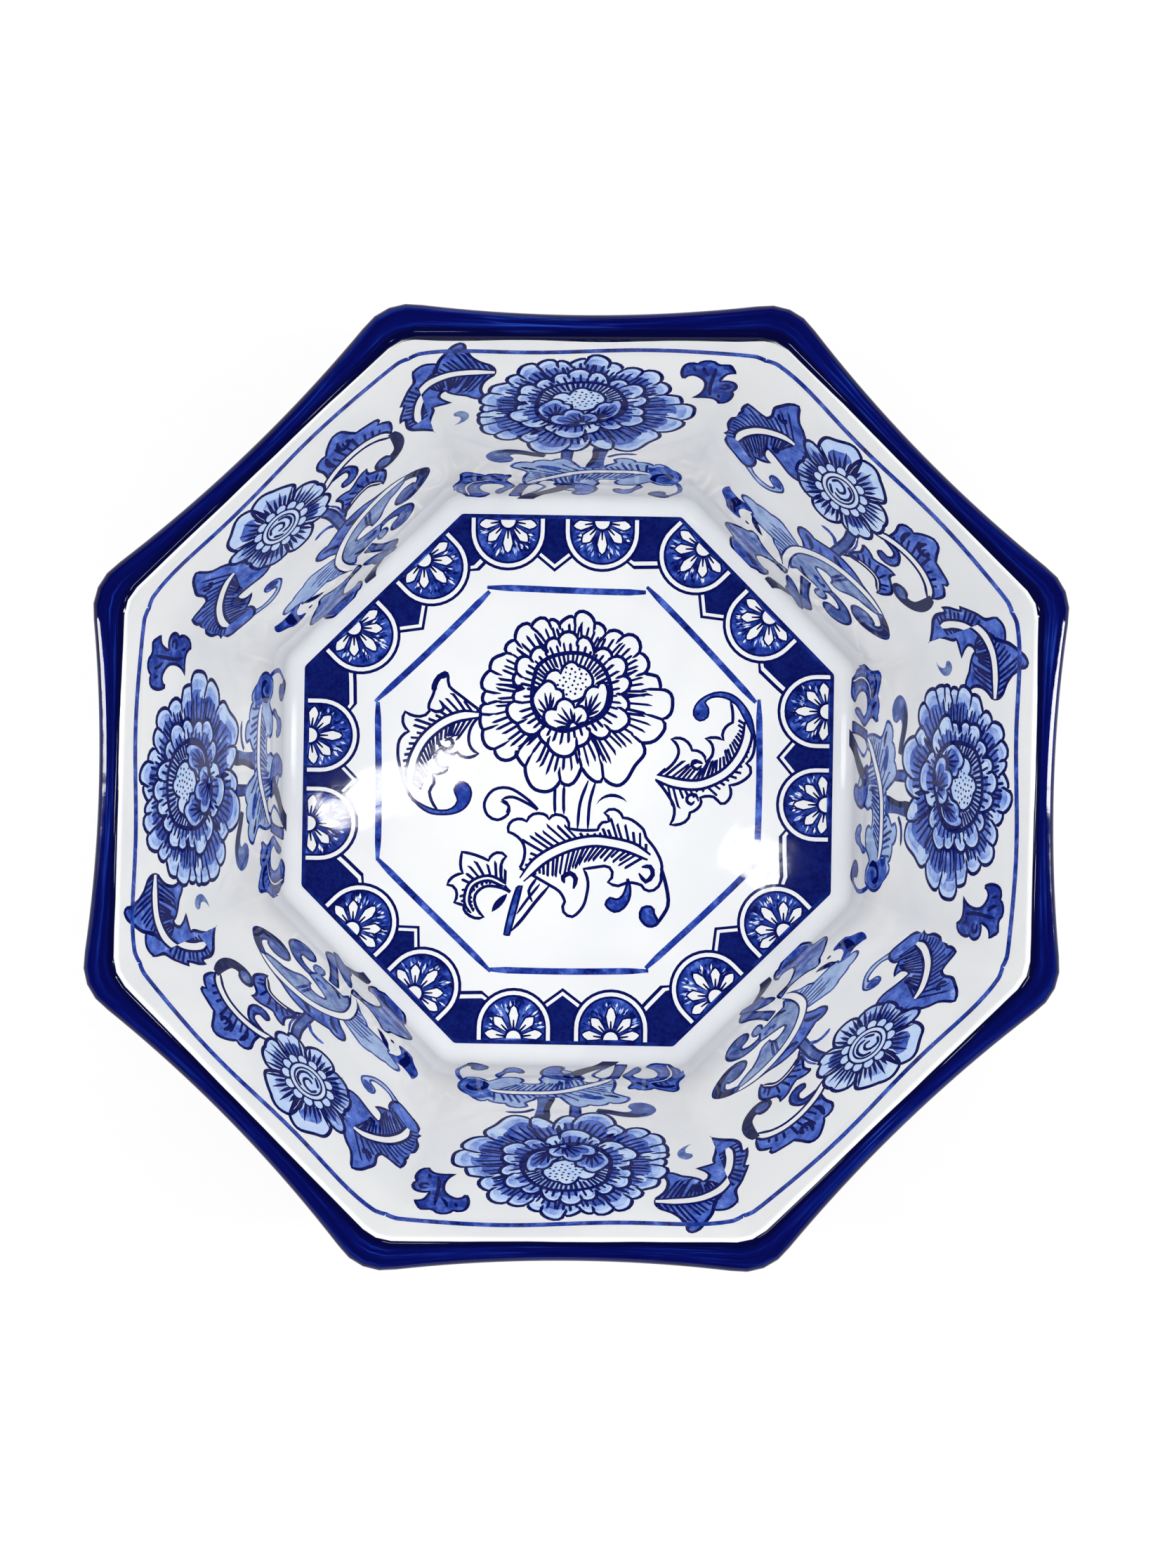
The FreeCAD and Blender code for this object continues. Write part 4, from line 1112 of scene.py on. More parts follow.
def wall_rows(form):
    """Ways up the wall at which its sheet is folded, with the edges of the rim line and the rim glaze"""
    cove = [form.v_cove + form.cove * form.slope * i / ROUND_STEPS for i in range(ROUND_STEPS + 1)]
    wall = [form.v_wall + (form.v_seat - form.v_wall) * i / WALL_STEPS for i in range(1, WALL_STEPS + 1)]
    lip = [form.v_mouth - RIM_EDGE, form.v_mouth]
    line = [RIM_LINE - RIM_LINE_WIDTH / 2, RIM_LINE + RIM_LINE_WIDTH / 2]
    return sorted([form.v_floor] + cove + wall + lip + line)


def corner_u(form, v, share=1.0):
    """Way along a side to a share of its easing, at a way v up the wall"""
    half, _, ease, _ = form.inside(v)
    straight, whole = straight_side(half, ease)
    return straight + (whole - straight) * share


@functools.cache
def wall_sheet(kind):
    """The cut sheet of a wall and the lip above it, painted with one of the two stencils"""
    form = Form(bpy.context.scene.bowl_sizes)
    rows = wall_rows(form)
    right = [(corner_u(form, v), v) for v in rows]
    border = right + [(-u, v) for u, v in reversed(right)]
    folds = [[(-u, v), (u, v)] for u, v in right[1:-1]]
    for share in (0.0, 0.33, 0.67):
        for way in (-1, 1):
            folds.append([(way * corner_u(form, v, share), v) for v in rows])
    sheet = Sheet(border, folds)
    PAINTED[kind](sheet)
    rim_marks(form, sheet, kind)
    return sheet.cut()


def rim_marks(form, sheet, kind):
    """Thin line below the lip, which dips at the corners, and the lower edge of the lip's glaze"""
    end = corner_u(form, RIM_LINE)
    rise = 3.1 if kind == "cardinal" else 3.4
    shares = [i / 16 for i in range(-16, 17)]
    line = [Vector((end * s, RIM_LINE + rise * (1 - abs(s) ** 6) * (1 + 0.25 * math.sin(5 * s))))
            for s in shares]
    for a, b in zip(line, line[1:]):
        sheet.area([(a.x, a.y - RIM_LINE_WIDTH / 2), (b.x, b.y - RIM_LINE_WIDTH / 2),
                    (b.x, b.y + RIM_LINE_WIDTH / 2), (a.x, a.y + RIM_LINE_WIDTH / 2)], (0.74, 0.0, 0.0))
    edge, top = form.v_mouth - RIM_EDGE, form.v_mouth
    for s, t in zip(shares, shares[1:]):
        low = [top - (RIM_EDGE + 0.5 * (1 - r * r) * math.sin(7 * r + 1)) * min(1.0, 0.02 + (1 - abs(r)) * 5)
               for r in (s, t)]
        ends = [(corner_u(form, edge) * r, corner_u(form, top) * r) for r in (s, t)]
        sheet.area([(ends[0][0], low[0]), (ends[1][0], low[1]), (ends[1][1], top), (ends[0][1], top)],
                   (1.0, 0.0, 0.15))


def split(flat, corners, paints, low, high):
    """The part of a cut sheet between two ways up it"""
    kept = [(f, p) for f, p in zip(corners, paints) if low < sum(flat[c][1] for c in f) / 3 < high]
    faces = [f for f, _ in kept]
    used = sorted({c for f in faces for c in f})
    place = {c: i for i, c in enumerate(used)}
    return flat[used], [tuple(place[c] for c in f) for f in faces], [p for _, p in kept]


def edge_rows(flat, loop, low, high):
    """Bottom, right, top and left rows of a sheet's loop, each from its first corner to its last"""
    def at_bottom(i): return abs(flat[i][1] - low) < 1e-3
    def at_top(i): return abs(flat[i][1] - high) < 1e-3
    bottom = sorted((i for i in loop if at_bottom(i)), key=lambda i: flat[i][0])
    top = sorted((i for i in loop if at_top(i)), key=lambda i: flat[i][0])
    sides = [i for i in loop if not at_bottom(i) and not at_top(i)]
    right = [bottom[-1]] + sorted((i for i in sides if flat[i][0] > 0), key=lambda i: flat[i][1]) + [top[-1]]
    left = [bottom[0]] + sorted((i for i in sides if flat[i][0] < 0), key=lambda i: flat[i][1]) + [top[0]]
    return bottom, right, top, left


def outside_rows(form):
    """Level rows of the outside of the walls: half width, easing, height, draw, steepness"""
    tangent = form.foot_height + form.base_edge * (1 - math.cos(form.slope))
    base_half, base_ease = form.outer_half(tangent), form.outer_ease(tangent)
    rows = [(form.floor_half, form.floor_corner, form.foot_height, 0.0, math.pi)]
    for i in range(ROUND_STEPS + 1):
        turn = form.slope * i / ROUND_STEPS
        back = form.base_edge * (math.sin(form.slope) - math.sin(turn))
        z = form.foot_height + form.base_edge * (1 - math.cos(turn))
        rows.append((base_half - back, base_ease - back, z, 0.0, math.pi - turn))
    for i in range(1, WALL_STEPS + 1):
        z = tangent + (form.seat - tangent) * i / WALL_STEPS
        rows.append((form.outer_half(z), form.outer_ease(z), z, form.draw_at(z), math.pi - form.slope_at(z)))
    return rows


def side_of(index):
    """Stencil and direction of a side, counted from the front round by the right"""
    return "diagonal" if index % 2 else "cardinal", 2 * HALF_TURN * index - math.pi / 2


def wall_piece(form, index, material):
    """One wall panel: painted inside, plain outside, mitred ends"""
    kind, angle = side_of(index)
    flat, faces, paints = split(*wall_sheet(kind), form.v_floor - 1, form.v_seat)
    mesh = Mesh()
    # Seen from inside with the rim up, u runs to the right, which is down a side's own y.
    laid = flat * np.array([-1.0, 1.0])
    inner = mesh.add(*lay(form, laid, angle), spread=flat * MM)
    for face, paint in zip(faces, paints):
        mesh.face(tuple(inner[c] for c in face), paint)
    edges = edge_rows(flat, rim_of(faces), form.v_floor, form.v_seat)
    shares = [-s for s in SHARES]
    rows = [mesh.add(*row(form, angle, half, ease, z, draw, shares, slope))
            for half, ease, z, draw, slope in outside_rows(form)]
    mesh.sheet_of([list(reversed(r)) for r in rows])
    close(mesh, flat, inner, edges, rows)
    return mesh.finish("painted_wall_" + PANELS[index], material)


def close(mesh, flat, inner, edges, rows):
    """Joins the edges of an inside sheet to those of the outside rows"""
    bottom, right, top, left = edges
    heights = [i / (len(rows) - 1) for i in range(len(rows))]

    def shares_of(edge, axis):
        low, high = flat[edge[0]][axis], flat[edge[-1]][axis]
        return [(flat[i][axis] - low) / (high - low) for i in edge]
    across_at = [(s + 1) / 2 for s in SHARES]
    for edge, other, axis, flip in ((bottom, rows[0], 0, False), (top, rows[-1], 0, True),
                                    (right, [r[-1] for r in rows], 1, False),
                                    (left, [r[0] for r in rows], 1, True)):
        other_at = across_at if axis == 0 else heights
        for face in zip_rows([inner[i] for i in edge], other, shares_of(edge, axis), other_at):
            mesh.face(face if flip else tuple(reversed(face)))


# How far out on the rim each of the lip's first rows counts: the glaze starts at a tenth.
LATE, EVEN, FULL = (0.03, 0.07, 0.11, 0.2), (0.05, 0.1, 0.17, 0.25), (0.14, 0.2, 0.25, 0.3)
GLAZE_EDGES = (LATE, LATE, LATE, EVEN, FULL, EVEN, LATE, LATE)
BACK = PANELS.index("back")


def lip_rows(form):
    """Level rows of the lip from its mouth over the top and down to its seat: half width, easing, height,
    draw, steepness and how far out on the rim they count, which for the first ones is GLAZE_EDGES' to say"""
    rows = []
    tangent = form.height - form.rounding * (1 - math.cos(form.mouth_slope))
    for i in range(1, ROUND_STEPS + 1):
        turn = form.mouth_slope * (1 - i / ROUND_STEPS)
        out = form.rounding * (math.sin(form.mouth_slope) - math.sin(turn))
        z = tangent + form.rounding * (math.cos(turn) - math.cos(form.mouth_slope))
        half, ease = form.inner_half(tangent) + out, form.inner_ease(tangent) + out
        rows.append((half, ease, z, 0.0, -turn, 0.0))
    inner, outer = (half, ease, 0.0), (form.lip_half - form.rounding, form.outer_corner - form.rounding,
                                       form.draw)
    for i in range(1, TOP_STEPS):
        size, easing, draw = (a + (b - a) * i / TOP_STEPS for a, b in zip(inner, outer))
        rows.append((size, easing, form.height, draw, 0.0, 0.35 + 0.07 * i))
    for i in range(ROUND_STEPS, -1, -1):
        turn = math.pi / 2 * i / ROUND_STEPS
        back = form.rounding * (1 - math.cos(turn))
        z = form.height - form.rounding * (1 - math.sin(turn))
        rows.append((form.lip_half - back, form.outer_corner - back, z, form.draw, math.pi / 2 - turn,
                     0.68 + 0.06 * (ROUND_STEPS - i)))
    seat = form.seat
    rows.append((form.outer_half(seat) + form.overhang, form.outer_ease(seat), seat, form.draw_at(seat),
                 1.7, 1.0))
    return rows


def lip_piece(form, material):
    """The rolled lip: the strip of each side's sheet above the joint, the glazed rim and the outside"""
    mesh = Mesh()
    top_rows = lip_rows(form)
    rims = [info[5] for info in top_rows]
    shares = [-s for s in SHARES]
    across_at = [(s + 1) / 2 for s in SHARES]
    for index in range(SIDES):
        kind, angle = side_of(index)
        flat, faces, paints = split(*wall_sheet(kind), form.v_seat, form.v_mouth + 1)
        laid = flat * np.array([-1.0, 1.0])
        inner = mesh.add(*lay(form, laid, angle), spread=flat * MM)
        for face, paint in zip(faces, paints):
            mesh.face(tuple(inner[c] for c in face), BARE if paint[2] and index != BACK else paint)
        bottom, _, top, _ = edge_rows(flat, rim_of(faces), form.v_seat, form.v_mouth)

        def glazing(level, share):
            """Rim glaze on a row; towards a corner it comes to the mean of the two sides that meet there"""
            if level >= ROUND_STEPS:
                return 0.0, 0.0, rims[level]
            own, beside = (GLAZE_EDGES[i % SIDES][level] for i in (index, index + (1 if share > 0 else -1)))
            return 0.0, 0.0, own + (beside - own) * max(0.0, abs(share) - 0.5)

        rows = [mesh.add(*row(form, angle, half, ease, z, draw, shares, slope))
                for half, ease, z, draw, slope, _ in top_rows]
        for edge, other, level, flip in ((top, rows[0], 0, False), (bottom, rows[-1], len(rims) - 1, True)):
            low, high = flat[edge[0]][0], flat[edge[-1]][0]
            at = [(flat[i][0] - low) / (high - low) for i in edge]
            share_of = dict(zip(other, shares)) | {inner[i]: 1 - 2 * a for i, a in zip(edge, at)}
            for face in zip_rows([inner[i] for i in edge], other, at, across_at):
                face = tuple(reversed(face)) if flip else face
                mesh.face(face, [glazing(level, share_of[c]) for c in face])
        for level, (low, high) in enumerate(zip(rows, rows[1:])):
            for i in range(len(low) - 1):
                mesh.face((low[i], low[i + 1], high[i + 1], high[i]),
                          [glazing(level + up, shares[at])
                           for up, at in ((0, i), (0, i + 1), (1, i + 1), (1, i))])
    return mesh.finish("glazed_lip", material)


def floor_sheet(form):
    """The cut sheet of the floor"""
    border = []
    for index in range(SIDES):
        angle = 2 * HALF_TURN * index
        for share in (-1, -0.98, -0.96, 0.96, 0.98):
            x, y, _, _ = side_point(form.floor_half, form.floor_corner, 0.0, share)
            border.append((x * math.cos(angle) - y * math.sin(angle),
                           x * math.sin(angle) + y * math.cos(angle)))
    sheet = Sheet(border, [])
    PAINTED["floor"](sheet)
    return sheet.cut()


def floor_piece(form, material):
    """The floor slab, painted on its top"""
    flat, faces, paints = floor_sheet(form)
    used = sorted({c for face in faces for c in face})
    place = {c: i for i, c in enumerate(used)}
    flat = flat[used]
    faces = [tuple(place[c] for c in face) for face in faces]
    mesh = Mesh()
    up = np.tile((0.0, 0.0, 1.0), (len(flat), 1))
    top = mesh.add(np.column_stack([flat, np.full(len(flat), form.floor_top)]), up, flat * MM)
    for face, paint in zip(faces, paints):
        mesh.face(face, paint)
    loop = rim_of(faces)
    low = mesh.add(np.column_stack([flat[loop], np.full(len(loop), form.foot_height)]), -up[:len(loop)])
    middle = mesh.add([(0.0, 0.0, form.foot_height)], [(0.0, 0.0, -1.0)])[0]
    for i, corner in enumerate(loop):
        after = (i + 1) % len(loop)
        mesh.face((top[corner], low[i], low[after], top[loop[after]]))
        mesh.face((low[i], middle, low[after]))
    return mesh.finish("painted_floor", material)


# Node trees ----------------------------------------------------------------------------------------
class Value:
    """A socket of a node tree, with plain sums"""

    def __init__(self, tree, socket):
        self.tree, self.socket = tree, socket

    def maths(self, kind, other, flip=False):
        pair = [other, self] if flip else [self, other]
        return self.tree.node("ShaderNodeMath", {"operation": kind}, dict(enumerate(pair)))

    def __add__(self, other): return self.maths("ADD", other)
    def __radd__(self, other): return self.maths("ADD", other, True)
    def __sub__(self, other): return self.maths("SUBTRACT", other)
    def __rsub__(self, other): return self.maths("SUBTRACT", other, True)
    def __mul__(self, other): return self.maths("MULTIPLY", other)
    def __rmul__(self, other): return self.maths("MULTIPLY", other, True)
    def __truediv__(self, other): return self.maths("DIVIDE", other)

    def ramp(self, low, high):
        """0 below low, 1 above high, eased between"""
        return self.tree.node("ShaderNodeMapRange", {"interpolation_type": "SMOOTHSTEP"},
                              {0: self, 1: low, 2: high, 3: 0.0, 4: 1.0})


class Tree:
    """Adds nodes to a node tree"""

    def __init__(self, nodes):
        self.nodes = nodes

    def node(self, kind, settings=None, sockets=None, out=0):
        """A node of a kind: its settings first, then values or links for its sockets; gives one output"""
        made = self.nodes.nodes.new(kind)
        for name, value in (settings or {}).items():
            setattr(made, name, value)
        for key, value in (sockets or {}).items():
            if isinstance(value, Value):
                self.nodes.links.new(value.socket, made.inputs[key])
            else:
                made.inputs[key].default_value = value
        return Value(self, made.outputs[out]) if made.outputs else None

    def outputs(self, value):
        """All the outputs of the node that a value comes from"""
        return [Value(self, s) for s in value.socket.node.outputs]

    def noise(self, place, scale, detail=2.0, rough=0.5):
        """Cloudy values around a half"""
        return self.node("ShaderNodeTexNoise", {}, {"Vector": place, "Scale": scale, "Detail": detail,
                                                    "Roughness": rough})

    def blend(self, share, low, high):
        """A colour from low to high by a share"""
        low, high = ((c if isinstance(c, Value) else tuple(c) + (1.0,)) for c in (low, high))
        return self.node("ShaderNodeMix", {"data_type": "RGBA"}, {0: share, 6: low, 7: high}, 2)


GLAZE_IOR = 1.5


def new_material(name):
    """An empty material and its node tree"""
    material = bpy.data.materials.new(name)
    material.use_nodes = True
    material.node_tree.nodes.clear()
    return material, Tree(material.node_tree)


def glaze_material(name, gloss, low_painted_shade, high_painted_shade):
    """Painted, glazed porcelain: the attribute paint says where the cobalt lies, gloss how strongly the glaze
    mirrors, and the last two arguments how much painted shade greys the glaze low down and high up"""
    colours = bpy.context.scene.bowl_colours
    material, tree = new_material(name)
    place = tree.node("ShaderNodeTexCoord", out=3)
    east, north, height = tree.outputs(tree.node("ShaderNodeSeparateXYZ", {}, {0: place}))
    paint = tree.node("ShaderNodeVertexColor", {"layer_name": "paint"})
    cobalt, greyed, rim = tree.outputs(tree.node("ShaderNodeSeparateColor", {}, {0: paint}))
    broad = tree.noise(place, 28.0, 2.0)
    brushed = tree.noise(place, 210.0, 3.0, 0.6)
    grain = tree.noise(place, 900.0, 2.0)
    # Painted shade: the glaze is greyed low down, which takes in the whole floor, and again near the mouth,
    # by a height in millimetres.
    level = height * 1000.0 + (broad - 0.5) * 30.0
    painted_shade = low_painted_shade * (1 - level.ramp(20.0, 52.0)) + high_painted_shade * level.ramp(45.0, 85.0)
    # Cloudy grey tone at random, plus that painted shade.
    body = tree.blend(0.2 * broad.ramp(0.42, 0.68) + painted_shade, colours.glaze, colours.pooled)
    loose = 1 - cobalt.ramp(0.8, 0.98)
    depth = cobalt * (1 + loose * ((brushed - 0.5) * 1.5 + (grain - 0.5) * 0.35))
    tint = tree.blend(depth.ramp(0.02, 0.26), body, colours.pale)
    tint = tree.blend(depth.ramp(0.22, 0.5), tint, colours.wash)
    tint = tree.blend(depth.ramp(0.45, 0.78), tint, colours.strong)
    tint = tree.blend(depth.ramp(0.75, 1.0) * (0.86 + 0.14 * grain.ramp(0.3, 0.7)), tint, colours.line)
    tint = tree.blend(greyed * (0.55 + 0.35 * brushed), tint, colours.slate)
    # On the lip the brush ran along the sides, so its streaks are long that way and short across.
    course = tree.node("ShaderNodeCombineXYZ", {}, {0: east * 22.0, 1: north * 22.0, 2: rim * 11.0})
    streaks = tree.noise(course, 1.0, 4.0, 0.65)
    rim_blotches = tree.noise(place, 30.0, 2.0, 0.5)
    spread = rim + (rim_blotches - 0.5) * 0.35
    # Painted light across the lip: painted shade on its inner rounding, and a painted highlight over its top
    # that dims again down the outer rounding and is brighter in random patches. The streaks are the brush
    # marks of the glaze itself.
    lit = spread.ramp(0.3, 0.5) * (1 - spread.ramp(0.72, 0.9) * 0.55)
    lip_blue_lit_and_shaded = tree.blend(lit * (0.35 + streaks.ramp(0.35, 0.6) * 0.65), colours.black, colours.band)
    lip_blue_lit_and_shaded = tree.blend(lit * streaks.ramp(0.5, 0.74) * (0.25 + 0.75 * rim_blotches.ramp(0.45, 0.7)), lip_blue_lit_and_shaded,
                        colours.thin)
    tint = tree.blend((rim + (rim_blotches - 0.5) * 0.04).ramp(0.085, 0.1), tint, lip_blue_lit_and_shaded)
    dents = tree.noise(place, 55.0, 2.0)
    bump = tree.node("ShaderNodeBump", {}, {"Strength": 0.2, "Distance": 0.0004,
                                            "Height": dents + grain * 0.03})
    shader = tree.node("ShaderNodeBsdfPrincipled", {}, {
        "Base Color": tint, "Roughness": 0.03 + 0.02 * brushed, "Normal": bump, "IOR": GLAZE_IOR,
        "Specular IOR Level": gloss})
    tree.node("ShaderNodeOutputMaterial", {}, {0: shader})
    return material


def foot_material():
    """Glazed foot with its resting edge wiped bare"""
    colours = bpy.context.scene.bowl_colours
    material, tree = new_material("foot_porcelain")
    place = tree.node("ShaderNodeTexCoord", out=3)
    height = tree.outputs(tree.node("ShaderNodeSeparateXYZ", {}, {0: place}))[2]
    broad = tree.noise(place, 40.0, 2.0)
    grain = tree.noise(place, 1100.0, 3.0, 0.6)
    bare = 1 - (height * 1000.0 + (broad - 0.5) * 1.4).ramp(1.3, 1.9)
    body = tree.blend(0.5 * broad, colours.glaze, colours.pooled)
    clay = tree.blend(grain.ramp(0.35, 0.7), colours.biscuit, colours.glaze)
    bump = tree.node("ShaderNodeBump", {}, {"Strength": 0.3, "Distance": 0.0003,
                                            "Height": broad + grain * bare * 0.3})
    shader = tree.node("ShaderNodeBsdfPrincipled", {}, {
        "Base Color": tree.blend(bare, body, clay), "Roughness": 0.08 + bare * 0.7, "Normal": bump,
        "IOR": GLAZE_IOR})
    tree.node("ShaderNodeOutputMaterial", {}, {0: shader})
    return material


def foot_tree():
    """Geometry Nodes: a tapered section swept round an octagon with eased corners"""
    group = bpy.data.node_groups.new("octagonal_foot", "GeometryNodeTree")
    for name, kind in (("Across flats", "NodeSocketFloat"), ("Height", "NodeSocketFloat"),
                       ("Wall", "NodeSocketFloat"), ("Taper", "NodeSocketFloat"),
                       ("Corner", "NodeSocketFloat"), ("Edge", "NodeSocketFloat"),
                       ("Finish", "NodeSocketMaterial")):
        group.interface.new_socket(name, in_out="INPUT", socket_type=kind)
    group.interface.new_socket("Geometry", in_out="OUTPUT", socket_type="NodeSocketGeometry")
    tree = Tree(group)
    width, height, wall, taper, corner, edge, finish = tree.outputs(tree.node("NodeGroupInput"))[:7]
    path = tree.node("GeometryNodeCurvePrimitiveCircle", {}, {
        "Resolution": SIDES, "Radius": (width - wall) / (2 * math.cos(HALF_TURN))})
    turned = tree.node("GeometryNodeTransform", {}, {"Geometry": path, "Rotation": (0, 0, HALF_TURN)})
    eased = tree.node("GeometryNodeFilletCurve", {"mode": "POLY"}, {"Curve": turned, "Count": 7,
                                                                    "Radius": corner})
    section = tree.node("GeometryNodeCurvePrimitiveQuadrilateral", {"mode": "TRAPEZOID"}, {
        "Height": height, "Bottom Width": wall - 2 * taper, "Top Width": wall, "Offset": 0.0})
    level = tree.outputs(tree.node("ShaderNodeSeparateXYZ", {},
                                   {0: tree.node("GeometryNodeInputPosition")}))[1]
    low = tree.node("FunctionNodeCompare", {"data_type": "FLOAT", "operation": "LESS_THAN"},
                    {0: level, 1: 0.0})
    rounded = tree.node("GeometryNodeFilletCurve", {"mode": "POLY"}, {"Curve": section, "Count": 6,
                                                                      "Radius": edge * low})
    swept = tree.node("GeometryNodeCurveToMesh", {}, {"Curve": eased, "Profile Curve": rounded})
    lift = tree.node("ShaderNodeCombineXYZ", {}, {2: height / 2})
    raised = tree.node("GeometryNodeTransform", {}, {"Geometry": swept, "Translation": lift})
    plain = tree.node("GeometryNodeRealizeInstances", {}, {0: raised})
    done = tree.node("GeometryNodeSetMaterial", {}, {"Geometry": plain, "Material": finish})
    tree.node("NodeGroupOutput", {}, {0: done})
    return group


def through_nodes(name, group, values):
    """The plain mesh that a node group gives for its named inputs"""
    seed = placed_object(name + "_seed", bpy.data.meshes.new(name + "_seed"))
    modifier = seed.modifiers.new(name, "NODES")
    modifier.node_group = group
    for item in group.interface.items_tree:
        if item.in_out == "INPUT":
            modifier[item.identifier] = values[item.name]
    bpy.context.view_layer.update()
    mesh = bpy.data.meshes.new_from_object(seed.evaluated_get(bpy.context.evaluated_depsgraph_get()))
    bpy.data.objects.remove(seed)
    mesh.name = name
    return placed_object(name, mesh)


# Operators -----------------------------------------------------------------------------------------
def settle(piece, node):
    """Sets a piece on the root body and hides the solid it dresses"""
    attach(piece, "root")
    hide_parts(node)


class BOWL_OT_walls(bpy.types.Operator):
    """Build the eight painted wall panels"""
    bl_idname = "bowl.walls"
    bl_label = "Wall panels"

    def execute(self, context):
        form = Form(context.scene.bowl_sizes)
        # The last two values are the painted shade low down and high up.
        material = glaze_material("painted_porcelain_walls", 0.07, 0.8, 0.5)
        for index, name in enumerate(PANELS):
            settle(wall_piece(form, index, material), "wall_panel_" + name)
        return {"FINISHED"}


class BOWL_OT_floor(bpy.types.Operator):
    """Build the painted floor"""
    bl_idname = "bowl.floor"
    bl_label = "Floor"

    def execute(self, context):
        form = Form(context.scene.bowl_sizes)
        # The floor takes 0.4 of painted shade all over.
        material = glaze_material("painted_porcelain_floor", 0.3, 0.4, 0.0)
        settle(floor_piece(form, material), "floor_slab")
        return {"FINISHED"}


class BOWL_OT_lip(bpy.types.Operator):
    """Build the cobalt-glazed lip"""
    bl_idname = "bowl.lip"
    bl_label = "Lip"

    def execute(self, context):
        form = Form(context.scene.bowl_sizes)
        # The lip takes 0.5 of painted shade, seen on its white inner face.
        settle(lip_piece(form, glaze_material("cobalt_glaze", 0.3, 0.0, 0.5)), "lip")
        return {"FINISHED"}


class BOWL_OT_foot(bpy.types.Operator):
    """Build the foot ring"""
    bl_idname = "bowl.foot"
    bl_label = "Foot ring"

    def execute(self, context):
        sizes = context.scene.bowl_sizes
        piece = through_nodes("octagonal_foot", foot_tree(), {
            "Across flats": sizes.foot_width, "Height": sizes.foot_height, "Wall": sizes.foot_wall,
            "Taper": sizes.foot_taper, "Corner": sizes.foot_corner, "Edge": sizes.foot_ease,
            "Finish": foot_material()})
        piece.data.shade_smooth()
        settle(piece, "foot_ring")
        return {"FINISHED"}


def plain_mesh(name, corners, faces, material):
    """An object from corners and faces"""
    mesh = bpy.data.meshes.new(name)
    mesh.from_pydata(corners, [], faces)
    mesh.materials.append(material)
    return placed_object(name, mesh)


def backdrop_material():
    """Even white to the camera and in mirror images, but matt to the object's own shadow"""
    material, tree = new_material("pale_table")
    by_camera, _, _, by_mirror, _, _, through = tree.outputs(tree.node("ShaderNodeLightPath"))[:7]
    shown = 1 - (1 - by_camera) * (1 - by_mirror) * (1 - through)
    matt = tree.node("ShaderNodeBsdfDiffuse", {}, {"Color": (0.8, 0.8, 0.8, 1.0)})
    glow = tree.node("ShaderNodeEmission", {}, {"Color": (1.0, 1.0, 1.0, 1.0), "Strength": 1.0})
    both = tree.node("ShaderNodeMixShader", {}, {0: shown * 0.8, 1: matt, 2: glow})
    tree.node("ShaderNodeOutputMaterial", {}, {0: both})
    return material


def area_lamp(name, place, aim, size, power):
    """A rectangular lamp at a place, turned towards its aim"""
    lamp = bpy.data.lights.new(name, "AREA")
    lamp.shape = "RECTANGLE"
    lamp.size, lamp.size_y = size
    lamp.energy = power
    thing = placed_object(name, lamp)
    thing.location = place
    thing.rotation_euler = (Vector(aim) - Vector(place)).to_track_quat("-Z", "Y").to_euler()
    return thing


BACKDROP_SIDES = 24
BACKDROP_RADIUS = 5


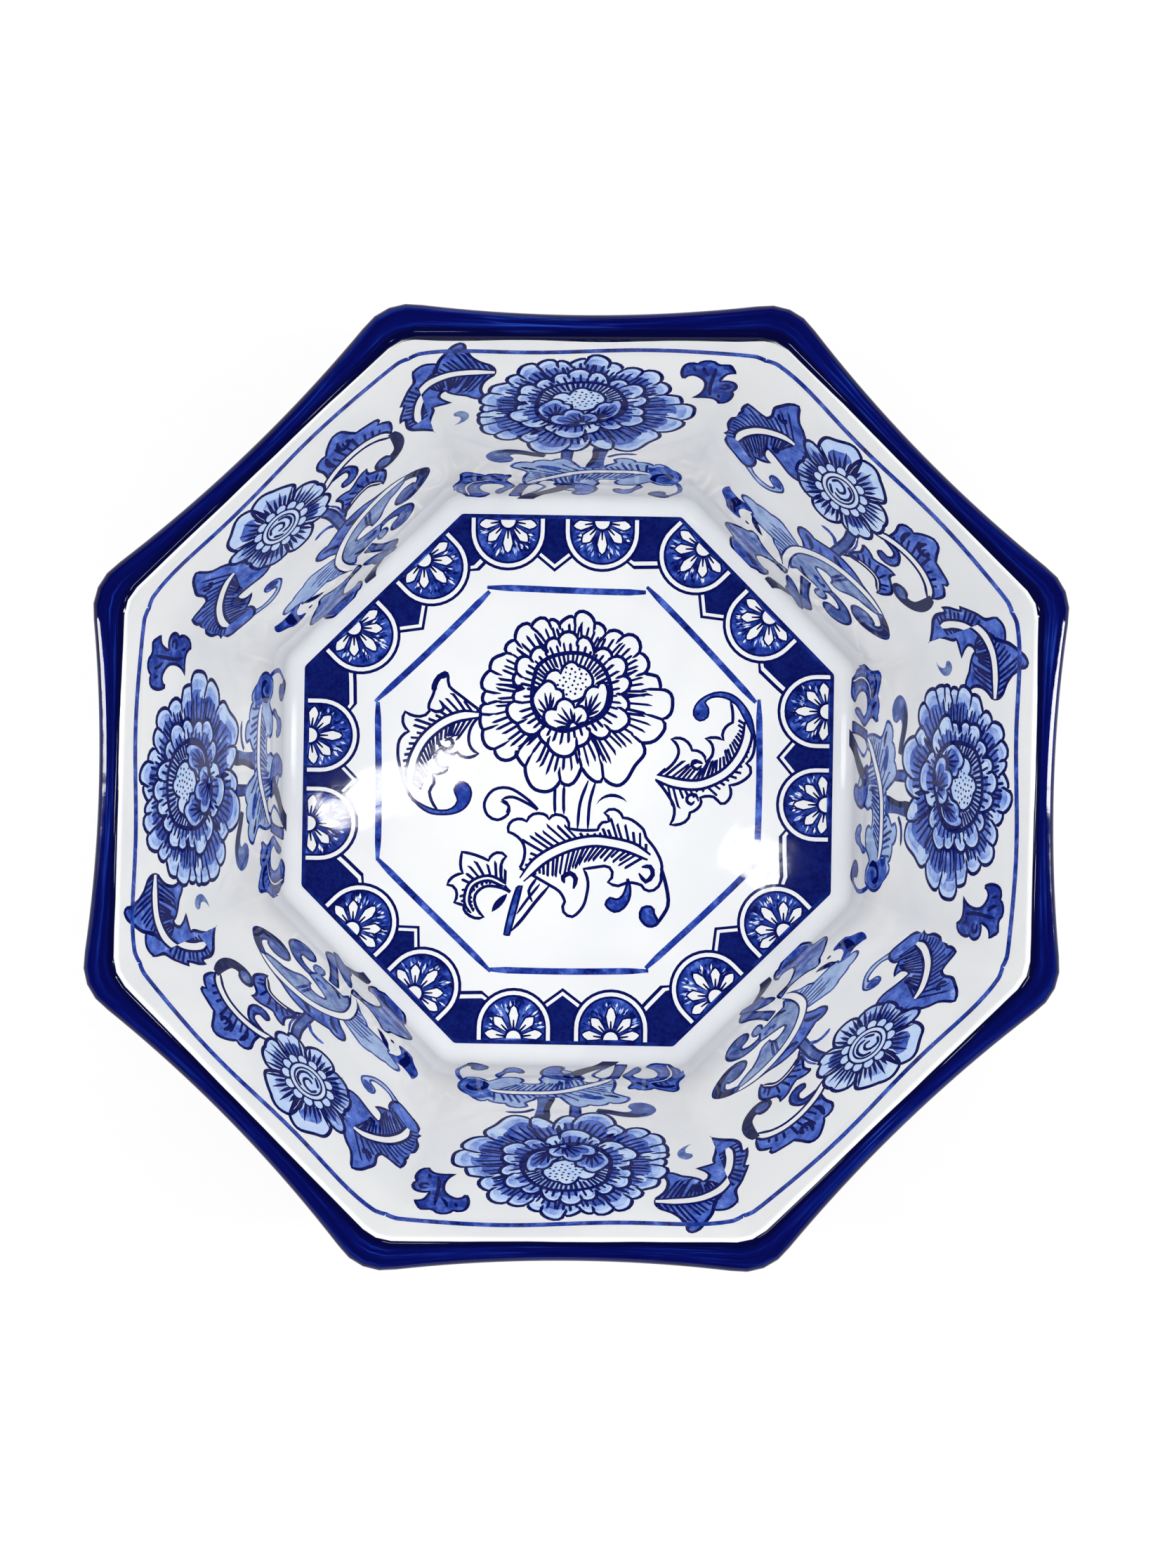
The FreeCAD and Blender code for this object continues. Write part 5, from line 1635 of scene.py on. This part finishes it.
class BOWL_OT_stage(bpy.types.Operator):
    """Build the table, the lamps and the camera"""
    bl_idname = "bowl.stage"
    bl_label = "Stage"

    def execute(self, context):
        scene = context.scene
        table = plain_mesh("table", [(-6, -6, 0), (6, -6, 0), (6, 6, 0), (-6, 6, 0)], [(0, 1, 2, 3)],
                           backdrop_material())
        lamps = [
            area_lamp("back_lamp", (0.0, 1.15, 1.15), (0, 0, 0.05), (1.2, 0.7), 11.0),
            area_lamp("front_lamp", (0.0, -1.15, 1.15), (0, 0, 0.05), (1.2, 0.7), 9.2),
            area_lamp("overhead", (0.0, 0.0, 1.7), (0, 0, 0), (1.2, 1.2), 15.0),
        ]
        # These broad fills would veil the glaze with their own mirror images.
        for lamp in lamps:
            lamp.visible_glossy = False
        lamps += [
            area_lamp("left_lamp", (-1.15, 0.0, 1.15), (0, 0, 0.05), (0.07, 1.3), 9.0),
            area_lamp("right_lamp", (1.15, 0.0, 1.15), (0, 0, 0.05), (0.07, 1.3), 10.5),
            area_lamp("left_strip", (-0.117, -0.03, 1.2), (-0.05, 0, 0), (0.023, 0.12), 0.35),
            area_lamp("right_strip", (0.179, -0.083, 1.2), (0.05, 0, 0), (0.036, 0.034), 0.18),
        ]
        turns = [2 * math.pi * k / BACKDROP_SIDES for k in range(BACKDROP_SIDES)]
        wall = [(BACKDROP_RADIUS * math.cos(t), BACKDROP_RADIUS * math.sin(t), z)
                for z in (-0.1, 2.6) for t in turns]
        sides = [(k, k + BACKDROP_SIDES, (k + 1) % BACKDROP_SIDES + BACKDROP_SIDES, (k + 1) % BACKDROP_SIDES)
                 for k in range(BACKDROP_SIDES)]
        backdrop = plain_mesh("backdrop", wall, sides, table.data.materials[0])
        world = bpy.data.worlds.new("studio")
        world.use_nodes = True
        world.node_tree.nodes["Background"].inputs[0].default_value = (1.0, 1.0, 1.0, 1.0)
        world.node_tree.nodes["Background"].inputs[1].default_value = 0.04
        scene.world = world
        scene.view_settings.view_transform = "Standard"
        camera = bpy.data.cameras.new("camera")
        camera.sensor_width = 36.0
        camera.lens = 59.2
        camera.shift_x = 0.0439
        camera.shift_y = -0.0356
        eye = placed_object("camera", camera)
        eye.location = (-0.0206, 0.0183, 0.941)
        eye.rotation_euler = (0.0, 0.0, math.radians(0.9))
        scene.camera = eye
        return {"FINISHED"}


class BOWL_PT_sidebar(bpy.types.Panel):
    """Lists the pieces of the bowl with their sizes and colours"""
    bl_idname = "BOWL_PT_sidebar"
    bl_label = "Porcelain bowl"
    bl_space_type = "VIEW_3D"
    bl_region_type = "UI"
    bl_category = "Bowl"

    def draw(self, context):
        for operator in OPERATORS:
            self.layout.operator(operator.bl_idname)
        for group in (context.scene.bowl_sizes, context.scene.bowl_colours):
            for name in group.__annotations__:
                self.layout.prop(group, name)


OPERATORS = (BOWL_OT_walls, BOWL_OT_floor, BOWL_OT_lip, BOWL_OT_foot, BOWL_OT_stage)
CLASSES = (BowlSizes, BowlColours) + OPERATORS + (BOWL_PT_sidebar,)


def register():
    for part in CLASSES:
        bpy.utils.register_class(part)
    bpy.types.Scene.bowl_sizes = bpy.props.PointerProperty(type=BowlSizes)
    bpy.types.Scene.bowl_colours = bpy.props.PointerProperty(type=BowlColours)


def unregister():
    del bpy.types.Scene.bowl_colours
    del bpy.types.Scene.bowl_sizes
    for part in reversed(CLASSES):
        bpy.utils.unregister_class(part)


def main():
    """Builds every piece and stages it"""
    register()
    bpy.ops.bowl.walls()
    bpy.ops.bowl.floor()
    bpy.ops.bowl.lip()
    bpy.ops.bowl.foot()
    bpy.ops.bowl.stage()


if __name__ == "__main__":
    main()
